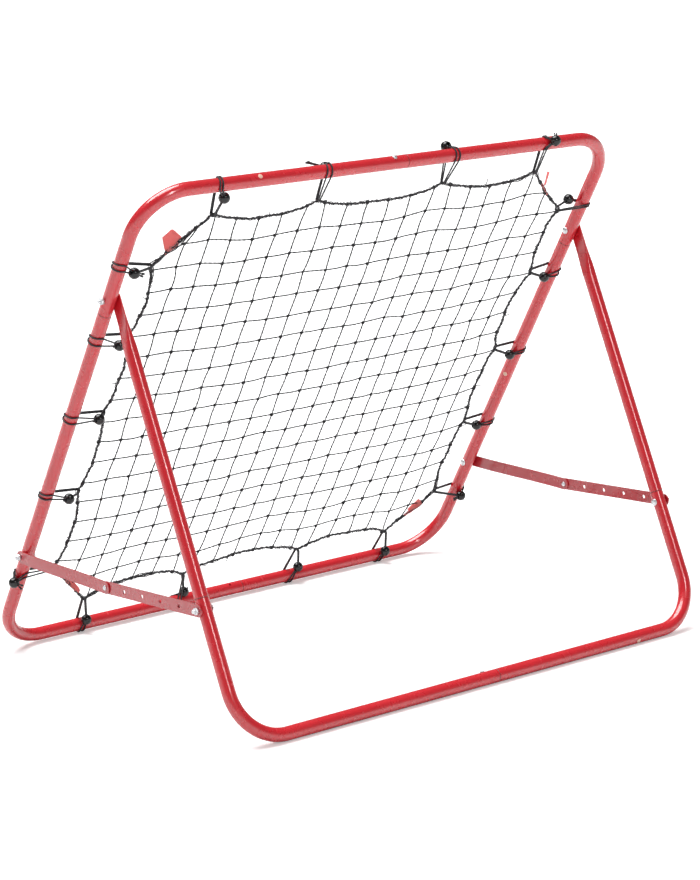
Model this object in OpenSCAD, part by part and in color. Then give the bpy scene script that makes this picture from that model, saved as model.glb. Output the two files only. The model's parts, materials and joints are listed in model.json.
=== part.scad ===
// Pitch-back rebounder: a square tube frame with a tied-in net, leaning back on a
// hinged U-shaped stand that is held open by a lapped two-bar stay on each side.
// +Z is up, the ball side faces -Y, and "left" and "right" are as seen from the ball side,
// so that right is +X. The origin is on the ground under the middle of the bounding box.
// Name endings: _w width, _l length, _h height, _t thickness, _d diameter, _r radius,
// _a angle, _s distance up the slope of the frame or of the stand's legs.

/* [Frame] */
// Centre-to-centre width of the frame and of the stand
frame_w = 938; // [936:1:940]
// Centre-to-centre length of the frame, measured up its slope
frame_l = 938; // [936:1:940]
// Angle between the frame and the ground, opened to the widest setting
lean = 58.6; // [58.4:0.1:58.8]
// Outside diameter of every tube
tube_d = 22; // [22:0.1:22.2]
// Wall thickness of every tube
tube_wall = 1.5; // [1.4:0.1:1.6]
// Centreline radius of every corner bend
bend_r = 80; // [70:5:90]
// Height of the stand pivots, measured up the slope from the bottom tube
pivot_s = 738; // [736:1:740]
// Length of each socketed tube joint
lap_l = 50; // [46:1:52]

/* [Stand] */
// Leg length from the base tube's centre to the pivot
leg_l = 698; // [696:1:700]
// Thickness of the flattened top end of a leg
flat_t = 3; // [3:0.1:3.2]
// Width of the flattened top end of a leg
flat_w = 26; // [24:1:27]
// Length of the flattened part, measured from the pivot
flat_l = 30; // [28:1:32]

/* [Stay bars] */
// Width of each flat bar
bar_w = 20; // [18:1:21]
// Thickness of each flat bar
bar_t = 2; // [2:0.1:2.2]
// Spacing of the setting holes along the rear bar
hole_pitch = 50; // [49:0.5:50]
// Distance from the frame's bottom tube up to its stay bolts
stay_s = 202; // [201:1:203]
// Distance from the base tube up the legs to their stay bolts
leg_stay_s = 210; // [209:1:211]
// How far the lap bolt sits below the straight line between the stay bolts
stay_sag = 10; // [8:1:12]

/* [Net] */
// Spacing of the net's strings across the frame
mesh_x = 42.5; // [42:0.5:42.5]
// Spacing of the net's strings up the frame
mesh_s = 43.75; // [43.5:0.25:43.75]
// Thickness of a net string
string_d = 2.4; // [2:0.2:2.6]
// Thickness of the net's border cord
border_d = 5; // [4:0.5:5]
// How far the border bows in between its ties
bow = 20; // [18:1:22]

/* [Bungees] */
// Thickness of a bungee's elastic cord
bungee_d = 2.6; // [2.4:0.1:2.6]
// Diameter of a bungee's ball
ball_d = 18; // [16:1:18]
// Where the bungees pass round the top tube, from the middle of the frame
top_ties = [334, 130, -135, -313];
// Where the bungees pass round the bottom tube, from the middle of the frame
bottom_ties = [319.5, 114, -133, -329];
// Where the bungees pass round the right tube, up the slope
right_ties = [811, 661, 508, 339, 167];
// Where the bungees pass round the left tube, up the slope
left_ties = [789, 654, 478, 308, 148];

/* [Fasteners] */
// Diameter of the bolts
bolt_d = 6; // [6:0.1:6.1]
// Diameter of a bolt's domed head
head_d = 12; // [11:0.5:12]
// Width of a nut across its flats
nut_af = 10; // [9.5:0.5:10]

/* [Hidden] */
$fn = 48;

red = "#d92b3f";
zinc = "#cfd2d4";
black = "#1c1c1e";
pale = "#e9b9a4";

RIGHT = 1;
LEFT = -1;

// clearances
turn_gap = 0.05;                  // round a bolt in a turning joint
fit = 0.1;                        // round a fixed part
seam = 0.4;                       // visible gap at a socketed joint
plate_gap = 0.15;                 // between a leg's flat end and the frame tube
gap = 0.2;                        // between other stacked faces
lap_gap = 0.35;                   // between the lapped stay bars

tube_r = tube_d / 2;
bore_r = tube_r - tube_wall;
half_w = frame_w / 2;
half_lap = lap_l / 2;
bolt_r = bolt_d / 2;
turn_hole_r = bolt_r + turn_gap;
fixed_hole_r = bolt_r + fit;
screw_r = 2;

// ---------- layout ----------
// each flattened leg end lies against the -X face of its frame tube
stand_x = -(tube_r + plate_gap + flat_t / 2);

// side view: points are [Y, Z], before the origin is moved
bottom_z = tube_r + bungee_d + 0.2;   // the frame rests on the cords round its bottom tube
function up_frame(s) = [s * cos(lean), bottom_z + s * sin(lean)];
pivot = up_frame(pivot_s);
frame_stay = up_frame(stay_s);
leg_a = asin((pivot[1] - tube_r) / leg_l);       // angle between the legs and the ground
base_y = pivot[0] + leg_l * cos(leg_a);
leg_stay = [base_y - leg_stay_s * cos(leg_a), tube_r + leg_stay_s * sin(leg_a)];

// the lap bolt is in the last setting hole of the rear bar
hole_count = 5;
rear_l = hole_count * hole_pitch;
function slope(from, to) = atan2(to[1] - from[1], to[0] - from[0]);
rear_a = slope(frame_stay, leg_stay) + asin(stay_sag / rear_l);
lap = leg_stay - rear_l * [cos(rear_a), sin(rear_a)];
front_l = norm(lap - frame_stay);
front_a = slope(frame_stay, lap);

// moves the origin to the middle of the bounding box
module place() { translate([4.175, -338.242, 0]) children(); }
// frame plane: x across, y up the slope, -z towards the stand
module on_frame() { place() translate([0, 0, bottom_z]) rotate([lean, 0, 0]) children(); }
// stand plane: x across, y up the legs, +z towards the frame
module on_stand() {
    place() translate([stand_x, base_y, tube_r]) rotate([180 - leg_a, 0, 0]) children();
}
// side plane at x: local x along a bar from the point, y its width, z towards +X
module on_side(x, point, angle) {
    place() translate([x, point[0], point[1]]) rotate([angle, 0, 0])
        rotate([0, 0, 90]) rotate([90, 0, 0]) children();
}
// turns a part made for the right-hand side over for the left
module hand(side) { mirror([side == LEFT ? 1 : 0, 0, 0]) children(); }

// ---------- tubes ----------
collar_l = 3;                     // full-width collar behind a spigot
cross_extra = 4;                  // how far a cross hole's cutter runs past the tube

module rod_x(r, length) { rotate([0, 90, 0]) cylinder(r = r, h = length, center = true); }
module rod_y(r, length) { rotate([-90, 0, 0]) cylinder(r = r, h = length); }

// a bent rod: its corner is at the origin, one arm along +X, the other along +Y
module elbow(r, arm_x, arm_y) {
    translate([bend_r, 0, 0]) rotate([0, 90, 0]) cylinder(r = r, h = arm_x - bend_r);
    translate([0, bend_r, 0]) rod_y(r, arm_y - bend_r);
    translate([bend_r, bend_r, 0]) rotate([0, 0, 180])
        rotate_extrude(angle = 90) translate([bend_r, 0]) circle(r = r);
}

// the reduced end that slides into the next tube, along +Y from the seam
module spigot() {
    difference() {
        union() {
            rod_y(bore_r - fit, lap_l);
            translate([0, -collar_l, 0]) rod_y(tube_r, collar_l);
        }
        translate([0, -collar_l - 1, 0])
            rod_y(bore_r - fit - tube_wall, lap_l + collar_l + 2);
    }
}

// a corner tube with its arms' lengths to the seams, and whether each ends in a spigot
module elbow_tube(arm_x, arm_y, spigot_x, spigot_y) {
    end_x = spigot_x ? arm_x - seam : arm_x;
    end_y = spigot_y ? arm_y - seam : arm_y;
    inset = collar_l - 1;
    difference() {
        elbow(tube_r, spigot_x ? end_x - inset : end_x, spigot_y ? end_y - inset : end_y);
        elbow(bore_r, end_x + 1, end_y + 1);
    }
    if (spigot_x) translate([end_x, 0, 0]) rotate([0, 0, -90]) spigot();
    if (spigot_y) translate([0, end_y, 0]) spigot();
}

// holes across a tube: for a bolt along X, and for a joint screw along Y at mid-width
module bolt_hole(x, s) {
    translate([x, s, 0]) rod_x(fixed_hole_r, tube_d + 2 * cross_extra);
}
module screw_hole(s) {
    translate([0, s - tube_r - cross_extra, 0])
        rod_y(screw_r + fit, tube_d + 2 * cross_extra);
}

// the left-hand tubes carry the spigots of the middle joints
function middle_arm(side) = half_w + side * half_lap;

module frame_tube(side, upper) {
    corner_s = upper ? frame_l : 0;
    seam_s = pivot_s - half_lap;
    difference() {
        translate([side * half_w, corner_s, 0])
            hand(-side) mirror([0, upper ? 1 : 0, 0])
                elbow_tube(middle_arm(side), abs(corner_s - seam_s), side == LEFT, !upper);
        bolt_hole(side * half_w, pivot_s);
        if (!upper) bolt_hole(side * half_w, stay_s);
        screw_hole(corner_s);
    }
}
module upper_right_frame_tube() {
    color(red) on_frame() difference() {
        frame_tube(RIGHT, true);
        plug_hole(top_plug);
    }
}
module upper_left_frame_tube() { color(red) on_frame() frame_tube(LEFT, true); }
module lower_right_frame_tube() { color(red) on_frame() frame_tube(RIGHT, false); }
module lower_left_frame_tube() {
    color(red) on_frame() difference() {
        frame_tube(LEFT, false);
        plug_hole(side_plug);
    }
}

leg_seam_s = stay_s + half_lap - 1;    // the seam between a leg and the base tube
module base_tube(side) {
    difference() {
        translate([side * half_w, 0, 0]) hand(-side)
            elbow_tube(middle_arm(side), leg_seam_s, side == LEFT, false);
        bolt_hole(side * half_w, leg_stay_s);
        screw_hole(0);
    }
}
module right_base_tube() { color(red) on_stand() base_tube(RIGHT); }
module left_base_tube() {
    color(red) on_stand() difference() {
        base_tube(LEFT);
        plug_hole(base_plug);
    }
}

taper_l = 26;                     // length over which the round tube becomes flat
module leg_flat(length) {
    translate([-flat_t / 2, leg_l - flat_l, -flat_w / 2]) cube([flat_t, length, flat_w]);
}
module leg() {
    start = leg_seam_s + seam;
    round_end = leg_l - flat_l - taper_l;
    tube_start = start + collar_l - 1;
    difference() {
        union() {
            difference() {
                translate([0, tube_start, 0]) rod_y(tube_r, round_end - tube_start);
                translate([0, start - 1, 0]) rod_y(bore_r, round_end - start - 5);
            }
            translate([0, start, 0]) rotate([0, 0, 180]) spigot();
            hull() {
                translate([0, round_end - 1, 0]) rotate([-90, 0, 0])
                    cylinder(r = tube_r - 0.05, h = 0.5, $fn = 32);
                leg_flat(0.5);
            }
            leg_flat(flat_l);
            translate([0, leg_l, 0]) rod_x(flat_w / 2, flat_t);
        }
        translate([0, leg_l, 0]) rod_x(turn_hole_r, tube_d);
        bolt_hole(0, leg_stay_s);
    }
}
module right_stand_leg() { color(red) on_stand() translate([half_w, 0, 0]) leg(); }
module left_stand_leg() { color(red) on_stand() translate([-half_w, 0, 0]) leg(); }

// ---------- stay bars ----------
// X of each bar's middle plane: beside the leg, beside the frame tube, and at the lap,
// where the front bar lies on the +X face of the rear bar
bar_out = half_w + tube_r + gap + bar_t / 2;
function rear_plane(side) = stand_x + side * bar_out;
function front_plane(side) = side * bar_out;
function lap_plane(side) = rear_plane(side) + bar_t + lap_gap;

// a straight strap with round ends, centred on z = 0, between bolts at x = 0 and x = length
module strap(length, thickness) {
    translate([0, -bar_w / 2, -thickness / 2]) cube([length, bar_w, thickness]);
    for (x = [0, length])
        translate([x, 0, -thickness / 2]) cylinder(r = bar_w / 2, h = thickness);
}

// the front bar is sprung sideways in a long S from one plane to the other
spring_steps = 16;
straight_l = 18;                  // unbent length at each end, from the bolt
spring_l = front_l - 2 * straight_l;
blank_t = 40;                     // thickness of the outline that the S is cut from
function ease(t) = t <= 0 ? 0 : t >= 1 ? 1 : t * t * (3 - 2 * t);
module front_bar(side) {
    shift = lap_plane(side) - front_plane(side);
    stations = [
        -bar_w / 2,
        for (i = [0:spring_steps]) straight_l + i * spring_l / spring_steps,
        front_l + bar_w / 2
    ];
    middle = [for (x = stations) [x, shift * ease((x - straight_l) / spring_l)]];
    last = len(middle) - 1;
    on_side(front_plane(side), frame_stay, front_a) intersection() {
        difference() {
            union() strap(front_l, blank_t);
            translate([0, 0, -blank_t / 2 - 1]) cylinder(r = turn_hole_r, h = blank_t + 2);
            translate([front_l, 0, -blank_t / 2 - 1])
                cylinder(r = fixed_hole_r, h = blank_t + 2);
        }
        translate([0, bar_w, 0]) rotate([90, 0, 0]) linear_extrude(height = 2 * bar_w)
            polygon(concat([for (p = middle) p + [0, bar_t / 2]],
                           [for (i = [last:-1:0]) middle[i] - [0, bar_t / 2]]));
    }
}
module right_front_stay_bar() { color(red) front_bar(RIGHT); }
module left_front_stay_bar() { color(red) front_bar(LEFT); }

module rear_bar(side) {
    on_side(rear_plane(side), leg_stay, rear_a + 180) difference() {
        union() strap(rear_l, bar_t);
        translate([0, 0, -bar_t]) cylinder(r = turn_hole_r, h = 2 * bar_t);
        for (i = [1:hole_count])
            translate([i * hole_pitch, 0, -bar_t]) cylinder(r = bolt_r + 0.25, h = 2 * bar_t);
    }
}
module right_rear_stay_bar() { color(red) rear_bar(RIGHT); }
module left_rear_stay_bar() { color(red) rear_bar(LEFT); }

// ---------- fasteners ----------
nut_h = 5;
tail_l = 4;                       // length of bolt past its nut, with the gaps

// a low disc on z = 0 with a ball-shaped crown; the ball's top is at height + rise
module domed_disc(r, height, dome_r, rise = 0) {
    intersection() {
        cylinder(r = r, h = height);
        translate([0, 0, height + rise - dome_r]) sphere(r = dome_r);
    }
}
// a bolt along +X, with its head's face at x = 0
module bolt(length) {
    rotate([0, 90, 0]) {
        cylinder(r = bolt_r, h = length);
        rotate([180, 0, 0]) domed_disc(head_d / 2, 3.4, 8);
    }
}
module nut() {
    rotate([0, 90, 0]) difference() {
        cylinder(r = nut_af / 2 / cos(30), h = nut_h, $fn = 6);
        translate([0, 0, -1]) cylinder(r = fixed_hole_r, h = nut_h + 2);
    }
}

// distances from a tube's centre to a head or nut: bare side, leg-end side, stay-bar side
bare_out = tube_r + gap;
pivot_out = tube_r + plate_gap + flat_t + gap;
bar_side_out = tube_r + gap + bar_t + gap;

// the pivot heads are on the inside of the frame, the nuts on the outside
module pivot_bolts() {
    length = pivot_out + bare_out + nut_h + tail_l;
    color(zinc) on_frame() {
        translate([half_w - pivot_out, pivot_s, 0]) bolt(length);
        translate([-half_w + bare_out, pivot_s, 0]) mirror([1, 0, 0]) bolt(length);
    }
}
module pivot_nuts() {
    color(zinc) on_frame() {
        translate([half_w + bare_out, pivot_s, 0]) nut();
        translate([-half_w - pivot_out, pivot_s, 0]) mirror([1, 0, 0]) nut();
    }
}

// the pair of stay bolts, or their nuts, at a distance up the frame or the legs
module stay_bolts(s) {
    for (side = [RIGHT, LEFT]) hand(side)
        translate([half_w - bare_out, s, 0]) bolt(bare_out + bar_side_out + nut_h + tail_l);
}
module stay_nuts(s) {
    for (side = [RIGHT, LEFT]) hand(side) translate([half_w + bar_side_out, s, 0]) nut();
}
module frame_stay_bolts() { color(zinc) on_frame() stay_bolts(stay_s); }
module frame_stay_nuts() { color(zinc) on_frame() stay_nuts(stay_s); }
module stand_stay_bolts() { color(zinc) on_stand() stay_bolts(leg_stay_s); }
module stand_stay_nuts() { color(zinc) on_stand() stay_nuts(leg_stay_s); }

// lap bolts: the head is on the front bar's +X face and the nut on the rear bar's -X face.
// The slice of shank between the front bar and the nut is left out, so that the rear bar
// can slide there.
lap_head_d = 8.4;
lap_tail_l = 1.5;
module lap_bolt(side) {
    on_side(lap_plane(side) + bar_t / 2 + gap, lap, front_a) {
        domed_disc(lap_head_d / 2, 2.4, 6);
        translate([0, 0, -bar_t - gap]) cylinder(r = bolt_r, h = bar_t + gap + 0.5);
    }
    on_side(rear_plane(side) - bar_t / 2 - gap, lap, front_a)
        translate([0, 0, -nut_h - lap_tail_l]) cylinder(r = bolt_r, h = nut_h + lap_tail_l);
}
module lap_nut(side) {
    on_side(rear_plane(side), lap, front_a)
        rotate([0, 90, 0]) translate([bar_t / 2 + gap, 0, 0]) nut();
}
module right_lap_bolt() { color(zinc) lap_bolt(RIGHT); }
module right_lap_nut() { color(zinc) lap_nut(RIGHT); }
module left_lap_bolt() { color(zinc) lap_bolt(LEFT); }
module left_lap_nut() { color(zinc) lap_nut(LEFT); }

// a joint screw along -Y, its head's face at the origin
screw_l = 9;
screw_out = tube_r + 0.1;
module screw() {
    rotate([90, 0, 0]) cylinder(r = screw_r, h = screw_l);
    rotate([-90, 0, 0]) domed_disc(4, 2.2, 5.2, rise = 0.1);
}
module frame_joint_screws() {
    color(zinc) on_frame() {
        translate([0, frame_l + screw_out, 0]) screw();
        translate([0, -screw_out, 0]) mirror([0, 1, 0]) screw();
    }
}
module base_joint_screw() { color(zinc) on_stand() translate([0, screw_out, 0]) screw(); }

// plugs in small tube holes: x, distance up the slope, the tube's direction, turn about it
top_plug = [262.5, frame_l, 0, -112];
side_plug = [-half_w, 419, 90, 118];
base_plug = [-327, 0, 0, 136];
plug_r = 2.6;
module at_plug(place) {
    translate([place[0], place[1], 0]) rotate([0, 0, place[2]]) rotate([place[3], 0, 0])
        children();
}
module plug_hole(place) { at_plug(place) cylinder(r = plug_r + 0.05, h = tube_r + 3); }
module plug(place) {
    at_plug(place) {
        translate([0, 0, bore_r - 2]) cylinder(r = plug_r, h = tube_wall + 2.4);
        translate([0, 0, tube_r + 0.12]) domed_disc(plug_r + 1.2, 1, 9.5);
    }
}
module frame_hole_plugs() {
    color(pale) on_frame() {
        plug(top_plug);
        plug(side_plug);
    }
}
module base_hole_plug() { color(pale) on_stand() plug(base_plug); }

// ---------- net ----------
// nominal inset of the border's ties from the frame tubes, and what each edge adds to it
tie_inset = 54;
top_extra = 1;
bottom_extra = 8;
side_extra = -1;
tie_x = half_w - tie_inset - side_extra;
tie_top = frame_l - tie_inset - top_extra;
tie_bottom = tie_inset + bottom_extra;
// [x, distance up the slope], from the top right corner round by the left
border_ties = concat(
    [for (x = [327, 129, -122, -323]) [x, tie_top]],
    [for (s = [790, 657, 483, 313, 143]) [-tie_x, s]],
    [for (x = [-327, -124, 119, 323]) [x, tie_bottom]],
    [for (s = [158, 335, 498, 660, 792]) [tie_x, s]]);
tie_count = len(border_ties);

// how far each span bows in, starting at the tie of the same number
side_bow = bow * 0.8;
bottom_bow = bow * 1.3;
corner_bow = 3;
span_bows = [
    bow, bow, bow, corner_bow,
    side_bow, side_bow, side_bow, side_bow, corner_bow,
    bottom_bow, bottom_bow, bottom_bow, corner_bow,
    side_bow, side_bow, side_bow, side_bow, corner_bow
];
corner_spans = [3, 8, 12, 17];

function direction(from, to) = (to - from) / norm(to - from);
function inward(along) = [-along[1], along[0]];
function span_dir(i) = direction(border_ties[i], border_ties[(i + 1) % tie_count]);
// the point at a fraction t along a span
function span_point(i, t) =
    let (from = border_ties[i], to = border_ties[(i + 1) % tie_count])
    from + (to - from) * t + span_bows[i] * 4 * t * (1 - t) * inward(span_dir(i));

span_steps = 8;
border = [
    for (i = [0:tie_count - 1], k = [0:span_steps - 1]) span_point(i, k / span_steps)
];
border_count = len(border);
function border_inward(i) = inward(direction(
    border[(i + border_count - 1) % border_count], border[(i + 1) % border_count]));
function border_ring(offset_in) =
    [for (i = [0:border_count - 1]) border[i] + offset_in * border_inward(i)];

// a flat outline between two closed rings of count points each
module band(outer, inner) {
    count = len(outer);
    polygon(points = concat(outer, inner),
            paths = [[for (i = [0:count - 1]) i], [for (i = [0:count - 1]) count + i]]);
}
module net_border_cord() {
    color(black) on_frame() translate([0, 0, -border_d / 2])
        linear_extrude(height = border_d)
            band(border_ring(-border_d / 2), border_ring(border_d / 2));
}

upright_count = 18;
row_count = 17;
first_row_s = 129;
upright_ends = [98, 854];         // up the slope
outer_upright_ends = [116, 833];
row_reach = 388;                  // each way from the middle
bottom_row_reach = 372;
top_row_reach = 368;
module net_panel() {
    color(black) on_frame() translate([0, 0, -string_d / 2])
        linear_extrude(height = string_d) union() {
            for (i = [0:upright_count - 1]) {
                x = (i - (upright_count - 1) / 2) * mesh_x;
                outer = i == 0 || i == upright_count - 1;
                ends = outer ? outer_upright_ends : upright_ends;
                translate([x - string_d / 2, ends[0]]) square([string_d, ends[1] - ends[0]]);
            }
            for (j = [0:row_count - 1]) {
                reach = j == 0 ? bottom_row_reach
                    : j == row_count - 1 ? top_row_reach : row_reach;
                translate([-reach, first_row_s + j * mesh_s - string_d / 2])
                    square([2 * reach, string_d]);
            }
        }
}

// a flat tag at each corner of the net, pointing out along +X from the border
tag_t = 1.2;
module tag() {
    translate([0, 0, -tag_t / 2]) linear_extrude(height = tag_t)
        polygon([[0, -9], [0, 9], [14, 11], [22, 3], [20, -8]]);
}
module net_corner_tags() {
    color(red) on_frame() for (i = corner_spans) {
        outward = -inward(span_dir(i));
        foot = span_point(i, 0.5) + (border_d / 2 + 1) * outward;
        translate([foot[0], foot[1], 0])
            rotate([0, 0, atan2(outward[1], outward[0])]) tag();
    }
}

// ---------- bungees ----------
loop_w = 2 * bungee_d + 0.2;
loop_inner_r = tube_r + 0.17;
loop_outer_r = loop_inner_r + bungee_d;
loop_steps = 26;
// a teardrop: a circle about the origin with a point at [tip, 0]
function teardrop(r, tip) = let (start = acos(r / tip)) concat([[tip, 0]],
    [for (i = [0:loop_steps])
        let (t = start + (360 - 2 * start) * i / loop_steps) r * [cos(t), sin(t)]]);
// a cord loop round a tube at [x, s], its point turned towards the net's border
loop_reach = tie_inset - border_d / 2 - 2.5;
module cord_loop(x, s, turn, reach) {
    translate([x, s, 0]) rotate([0, 0, turn]) rotate([90, 0, 0])
        translate([0, 0, -loop_w / 2]) linear_extrude(height = loop_w)
            band(teardrop(loop_outer_r, reach),
                 teardrop(loop_inner_r, reach * loop_inner_r / loop_outer_r));
}
module bungee_cords() {
    color(black) on_frame() {
        for (x = top_ties) cord_loop(x, frame_l, -90, loop_reach);
        for (x = bottom_ties) cord_loop(x, 0, 90, loop_reach + bottom_extra);
        for (s = right_ties) cord_loop(half_w, s, 180, loop_reach + side_extra);
        for (s = left_ties) cord_loop(-half_w, s, 0, loop_reach + side_extra);
    }
}

// each ball: across, up the slope, and out of the frame's plane towards the stand
balls = [
    [322, 918, 8], [118, 930, -19], [-123, 940, -20], [-325, 953, 14],
    [-442, 801, -8], [-449, 642, 6], [-449, 466, 6], [-449, 296, 1], [-465, 136, 21],
    [-341, 17, 11], [-145, 20, 3], [102, 21, 0], [307, 18, 9],
    [451, 799, 15], [430, 650, 10], [423, 498, 11], [430, 328, 10], [487, 155, 10]
];
ball_hole_r = 1.6;
module bungee_balls() {
    color(black) on_frame() for (ball = balls)
        translate([ball[0], ball[1], -ball[2]]) difference() {
            sphere(d = ball_d);
            translate([0, 0, -ball_d]) cylinder(r = ball_hole_r, h = 2 * ball_d);
        }
}

upper_right_frame_tube();
upper_left_frame_tube();
lower_right_frame_tube();
lower_left_frame_tube();
right_stand_leg();
left_stand_leg();
right_base_tube();
left_base_tube();
right_front_stay_bar();
left_front_stay_bar();
right_rear_stay_bar();
left_rear_stay_bar();
pivot_bolts();
pivot_nuts();
frame_stay_bolts();
frame_stay_nuts();
stand_stay_bolts();
stand_stay_nuts();
right_lap_bolt();
right_lap_nut();
left_lap_bolt();
left_lap_nut();
frame_joint_screws();
base_joint_screw();
frame_hole_plugs();
base_hole_plug();
net_panel();
net_border_cord();
net_corner_tags();
bungee_cords();
bungee_balls();
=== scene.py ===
import json
import math
from collections import namedtuple

import bpy
import numpy as np
from mathutils import Matrix, Vector


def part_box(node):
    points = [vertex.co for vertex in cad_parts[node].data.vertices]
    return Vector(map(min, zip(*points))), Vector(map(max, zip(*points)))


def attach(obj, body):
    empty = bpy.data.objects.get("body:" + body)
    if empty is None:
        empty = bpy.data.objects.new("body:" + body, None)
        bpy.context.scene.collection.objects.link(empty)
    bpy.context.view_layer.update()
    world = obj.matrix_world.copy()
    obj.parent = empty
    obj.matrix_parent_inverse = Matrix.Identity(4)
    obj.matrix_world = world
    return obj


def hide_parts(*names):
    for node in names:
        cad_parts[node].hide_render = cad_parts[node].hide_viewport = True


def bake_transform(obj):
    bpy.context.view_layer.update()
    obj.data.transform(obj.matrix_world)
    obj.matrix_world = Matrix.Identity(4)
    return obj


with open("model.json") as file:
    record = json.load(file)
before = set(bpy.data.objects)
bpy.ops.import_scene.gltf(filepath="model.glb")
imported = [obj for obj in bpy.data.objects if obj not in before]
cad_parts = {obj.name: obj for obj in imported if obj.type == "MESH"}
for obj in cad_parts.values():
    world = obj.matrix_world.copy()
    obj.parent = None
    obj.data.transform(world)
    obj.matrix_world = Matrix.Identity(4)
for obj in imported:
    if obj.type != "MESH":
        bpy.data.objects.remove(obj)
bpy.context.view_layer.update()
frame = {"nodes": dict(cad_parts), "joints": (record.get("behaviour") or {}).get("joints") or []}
NODES = frame["nodes"]
JOINTS = {j["name"]: j for j in frame["joints"]}
rng = np.random.default_rng(11)
TURN = 2 * math.pi


def unit(vector):
    return vector / np.linalg.norm(vector)


# ---------------------------------------------------------------- frame axes and sizes
PIVOT = np.array(JOINTS["stand_fold"]["pos_m"]) * 1000
OUT = unit(np.array(JOINTS["net_rebound"]["axis"], float))   # off the frame, towards the stand
UP = np.array([0.0, -OUT[2], OUT[1]])                        # up the slope
ACROSS = np.array([1.0, 0.0, 0.0])
TUBE = 11.0                     # radius of the tubes
HALF = 469.0                    # from the frame's middle to a side tube's axis
LENGTH = 2 * HALF               # from the bottom tube's axis to the top tube's
MIDDLE = LENGTH / 2
PIVOT_UP = 738.0                # the stand's pivot, up the slope
CENTRE_X = (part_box("lower_left_frame_tube")[0][0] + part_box("lower_right_frame_tube")[1][0]) * 500
ORIGIN = np.array([CENTRE_X, PIVOT[1], PIVOT[2]]) - PIVOT_UP * UP   # middle of the bottom tube

# the stand's legs slope the other way
LEG_SLOPE = math.radians(65.023)
LEG_UP = -np.array([0.0, math.cos(LEG_SLOPE), -math.sin(LEG_SLOPE)])
LEG_LENGTH = 698.0              # from the base tube's axis to the pivot
STAND_X = (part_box("left_base_tube")[0][0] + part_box("right_base_tube")[1][0]) / 2   # metres


def frame_point(x, slope, out=0.0):
    x, slope, out = np.broadcast_arrays(*(np.asarray(a, float) for a in (x, slope, out)))
    return ORIGIN + x[..., None] * ACROSS + slope[..., None] * UP + out[..., None] * OUT


# ---------------------------------------------------------------- camera axes
CAMERA_AT = np.array([2.69155, 3.50898, 1.38338])            # metres


def camera_axes(yaw, pitch, roll):
    """The view's right, up and ahead, aimed from +Y and then turned half round Z."""
    ahead = np.array([-math.sin(yaw) * math.cos(pitch), math.cos(yaw) * math.cos(pitch),
                      -math.sin(pitch)])
    level = np.array([math.cos(yaw), math.sin(yaw), 0.0])
    upright = np.cross(level, ahead)
    right = math.cos(roll) * level + math.sin(roll) * upright
    up = -math.sin(roll) * level + math.cos(roll) * upright
    half_turn = np.array([-1.0, -1.0, 1.0])
    return right * half_turn, up * half_turn, ahead * half_turn


VIEW_RIGHT, VIEW_UP, VIEW_AHEAD = camera_axes(
    yaw=math.radians(-37.641), pitch=math.radians(13.253), roll=math.radians(-1.351))


def view_depth(point):
    return float((point - CAMERA_AT * 1000) @ VIEW_AHEAD)


def view_point(right, up, depth):
    """The point at this depth on a sight line, given in mm right and up per metre ahead."""
    ray = VIEW_AHEAD + right / 1000 * VIEW_RIGHT + up / 1000 * VIEW_UP
    return CAMERA_AT * 1000 + ray * depth


# ---------------------------------------------------------------- mesh building
class Surface:
    """Collects vertices, quads and triangles, with a UV pair for each corner."""

    def __init__(self):
        self.points, self.count = [], 0
        self.quad_list, self.quad_uvs = [np.zeros((0, 4), int)], []
        self.tri_list, self.tri_uvs = [np.zeros((0, 3), int)], []

    def verts(self, points):
        """Adds vertices and returns the index of the first."""
        self.points.append(np.asarray(points, float))
        self.count += len(points)
        return self.count - len(points)

    def quads(self, faces, uv=None):
        faces = np.asarray(faces, int)
        self.quad_list.append(faces)
        self.quad_uvs.append(np.zeros((len(faces), 4, 2)) if uv is None else uv)

    def tris(self, faces, uv):
        self.tri_list.append(faces)
        self.tri_uvs.append(uv)

    def build(self, name, material, body=None, slot=None, node=None, smooth=True):
        """Makes the object; node is the CAD piece it takes the place of."""
        points = np.concatenate(self.points) / 1000.0
        quads, tris = np.concatenate(self.quad_list), np.concatenate(self.tri_list)
        mesh = bpy.data.meshes.new(name)
        mesh.vertices.add(len(points))
        mesh.vertices.foreach_set("co", points.astype(np.float32).ravel())
        loops = np.concatenate([quads.ravel(), tris.ravel()])
        mesh.loops.add(len(loops))
        mesh.loops.foreach_set("vertex_index", loops.astype(np.int32))
        starts = np.concatenate([np.arange(len(quads)) * 4,
                                 len(quads) * 4 + np.arange(len(tris)) * 3])
        mesh.polygons.add(len(starts))
        mesh.polygons.foreach_set("loop_start", starts.astype(np.int32))
        uvs = np.concatenate([uv.reshape(-1, 2) for uv in self.quad_uvs + self.tri_uvs])
        layer = mesh.uv_layers.new(name="UVMap")
        layer.data.foreach_set("uv", uvs.astype(np.float32).ravel())
        mesh.update(calc_edges=True)
        mesh.validate()
        mesh.polygons.foreach_set("use_smooth", np.full(len(mesh.polygons), smooth))
        mesh.materials.append(material)
        piece = bpy.data.objects.new(name, mesh)
        bpy.context.scene.collection.objects.link(piece)
        if body:
            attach(piece, body)
        if node:
            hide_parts(node)
        return piece


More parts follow.
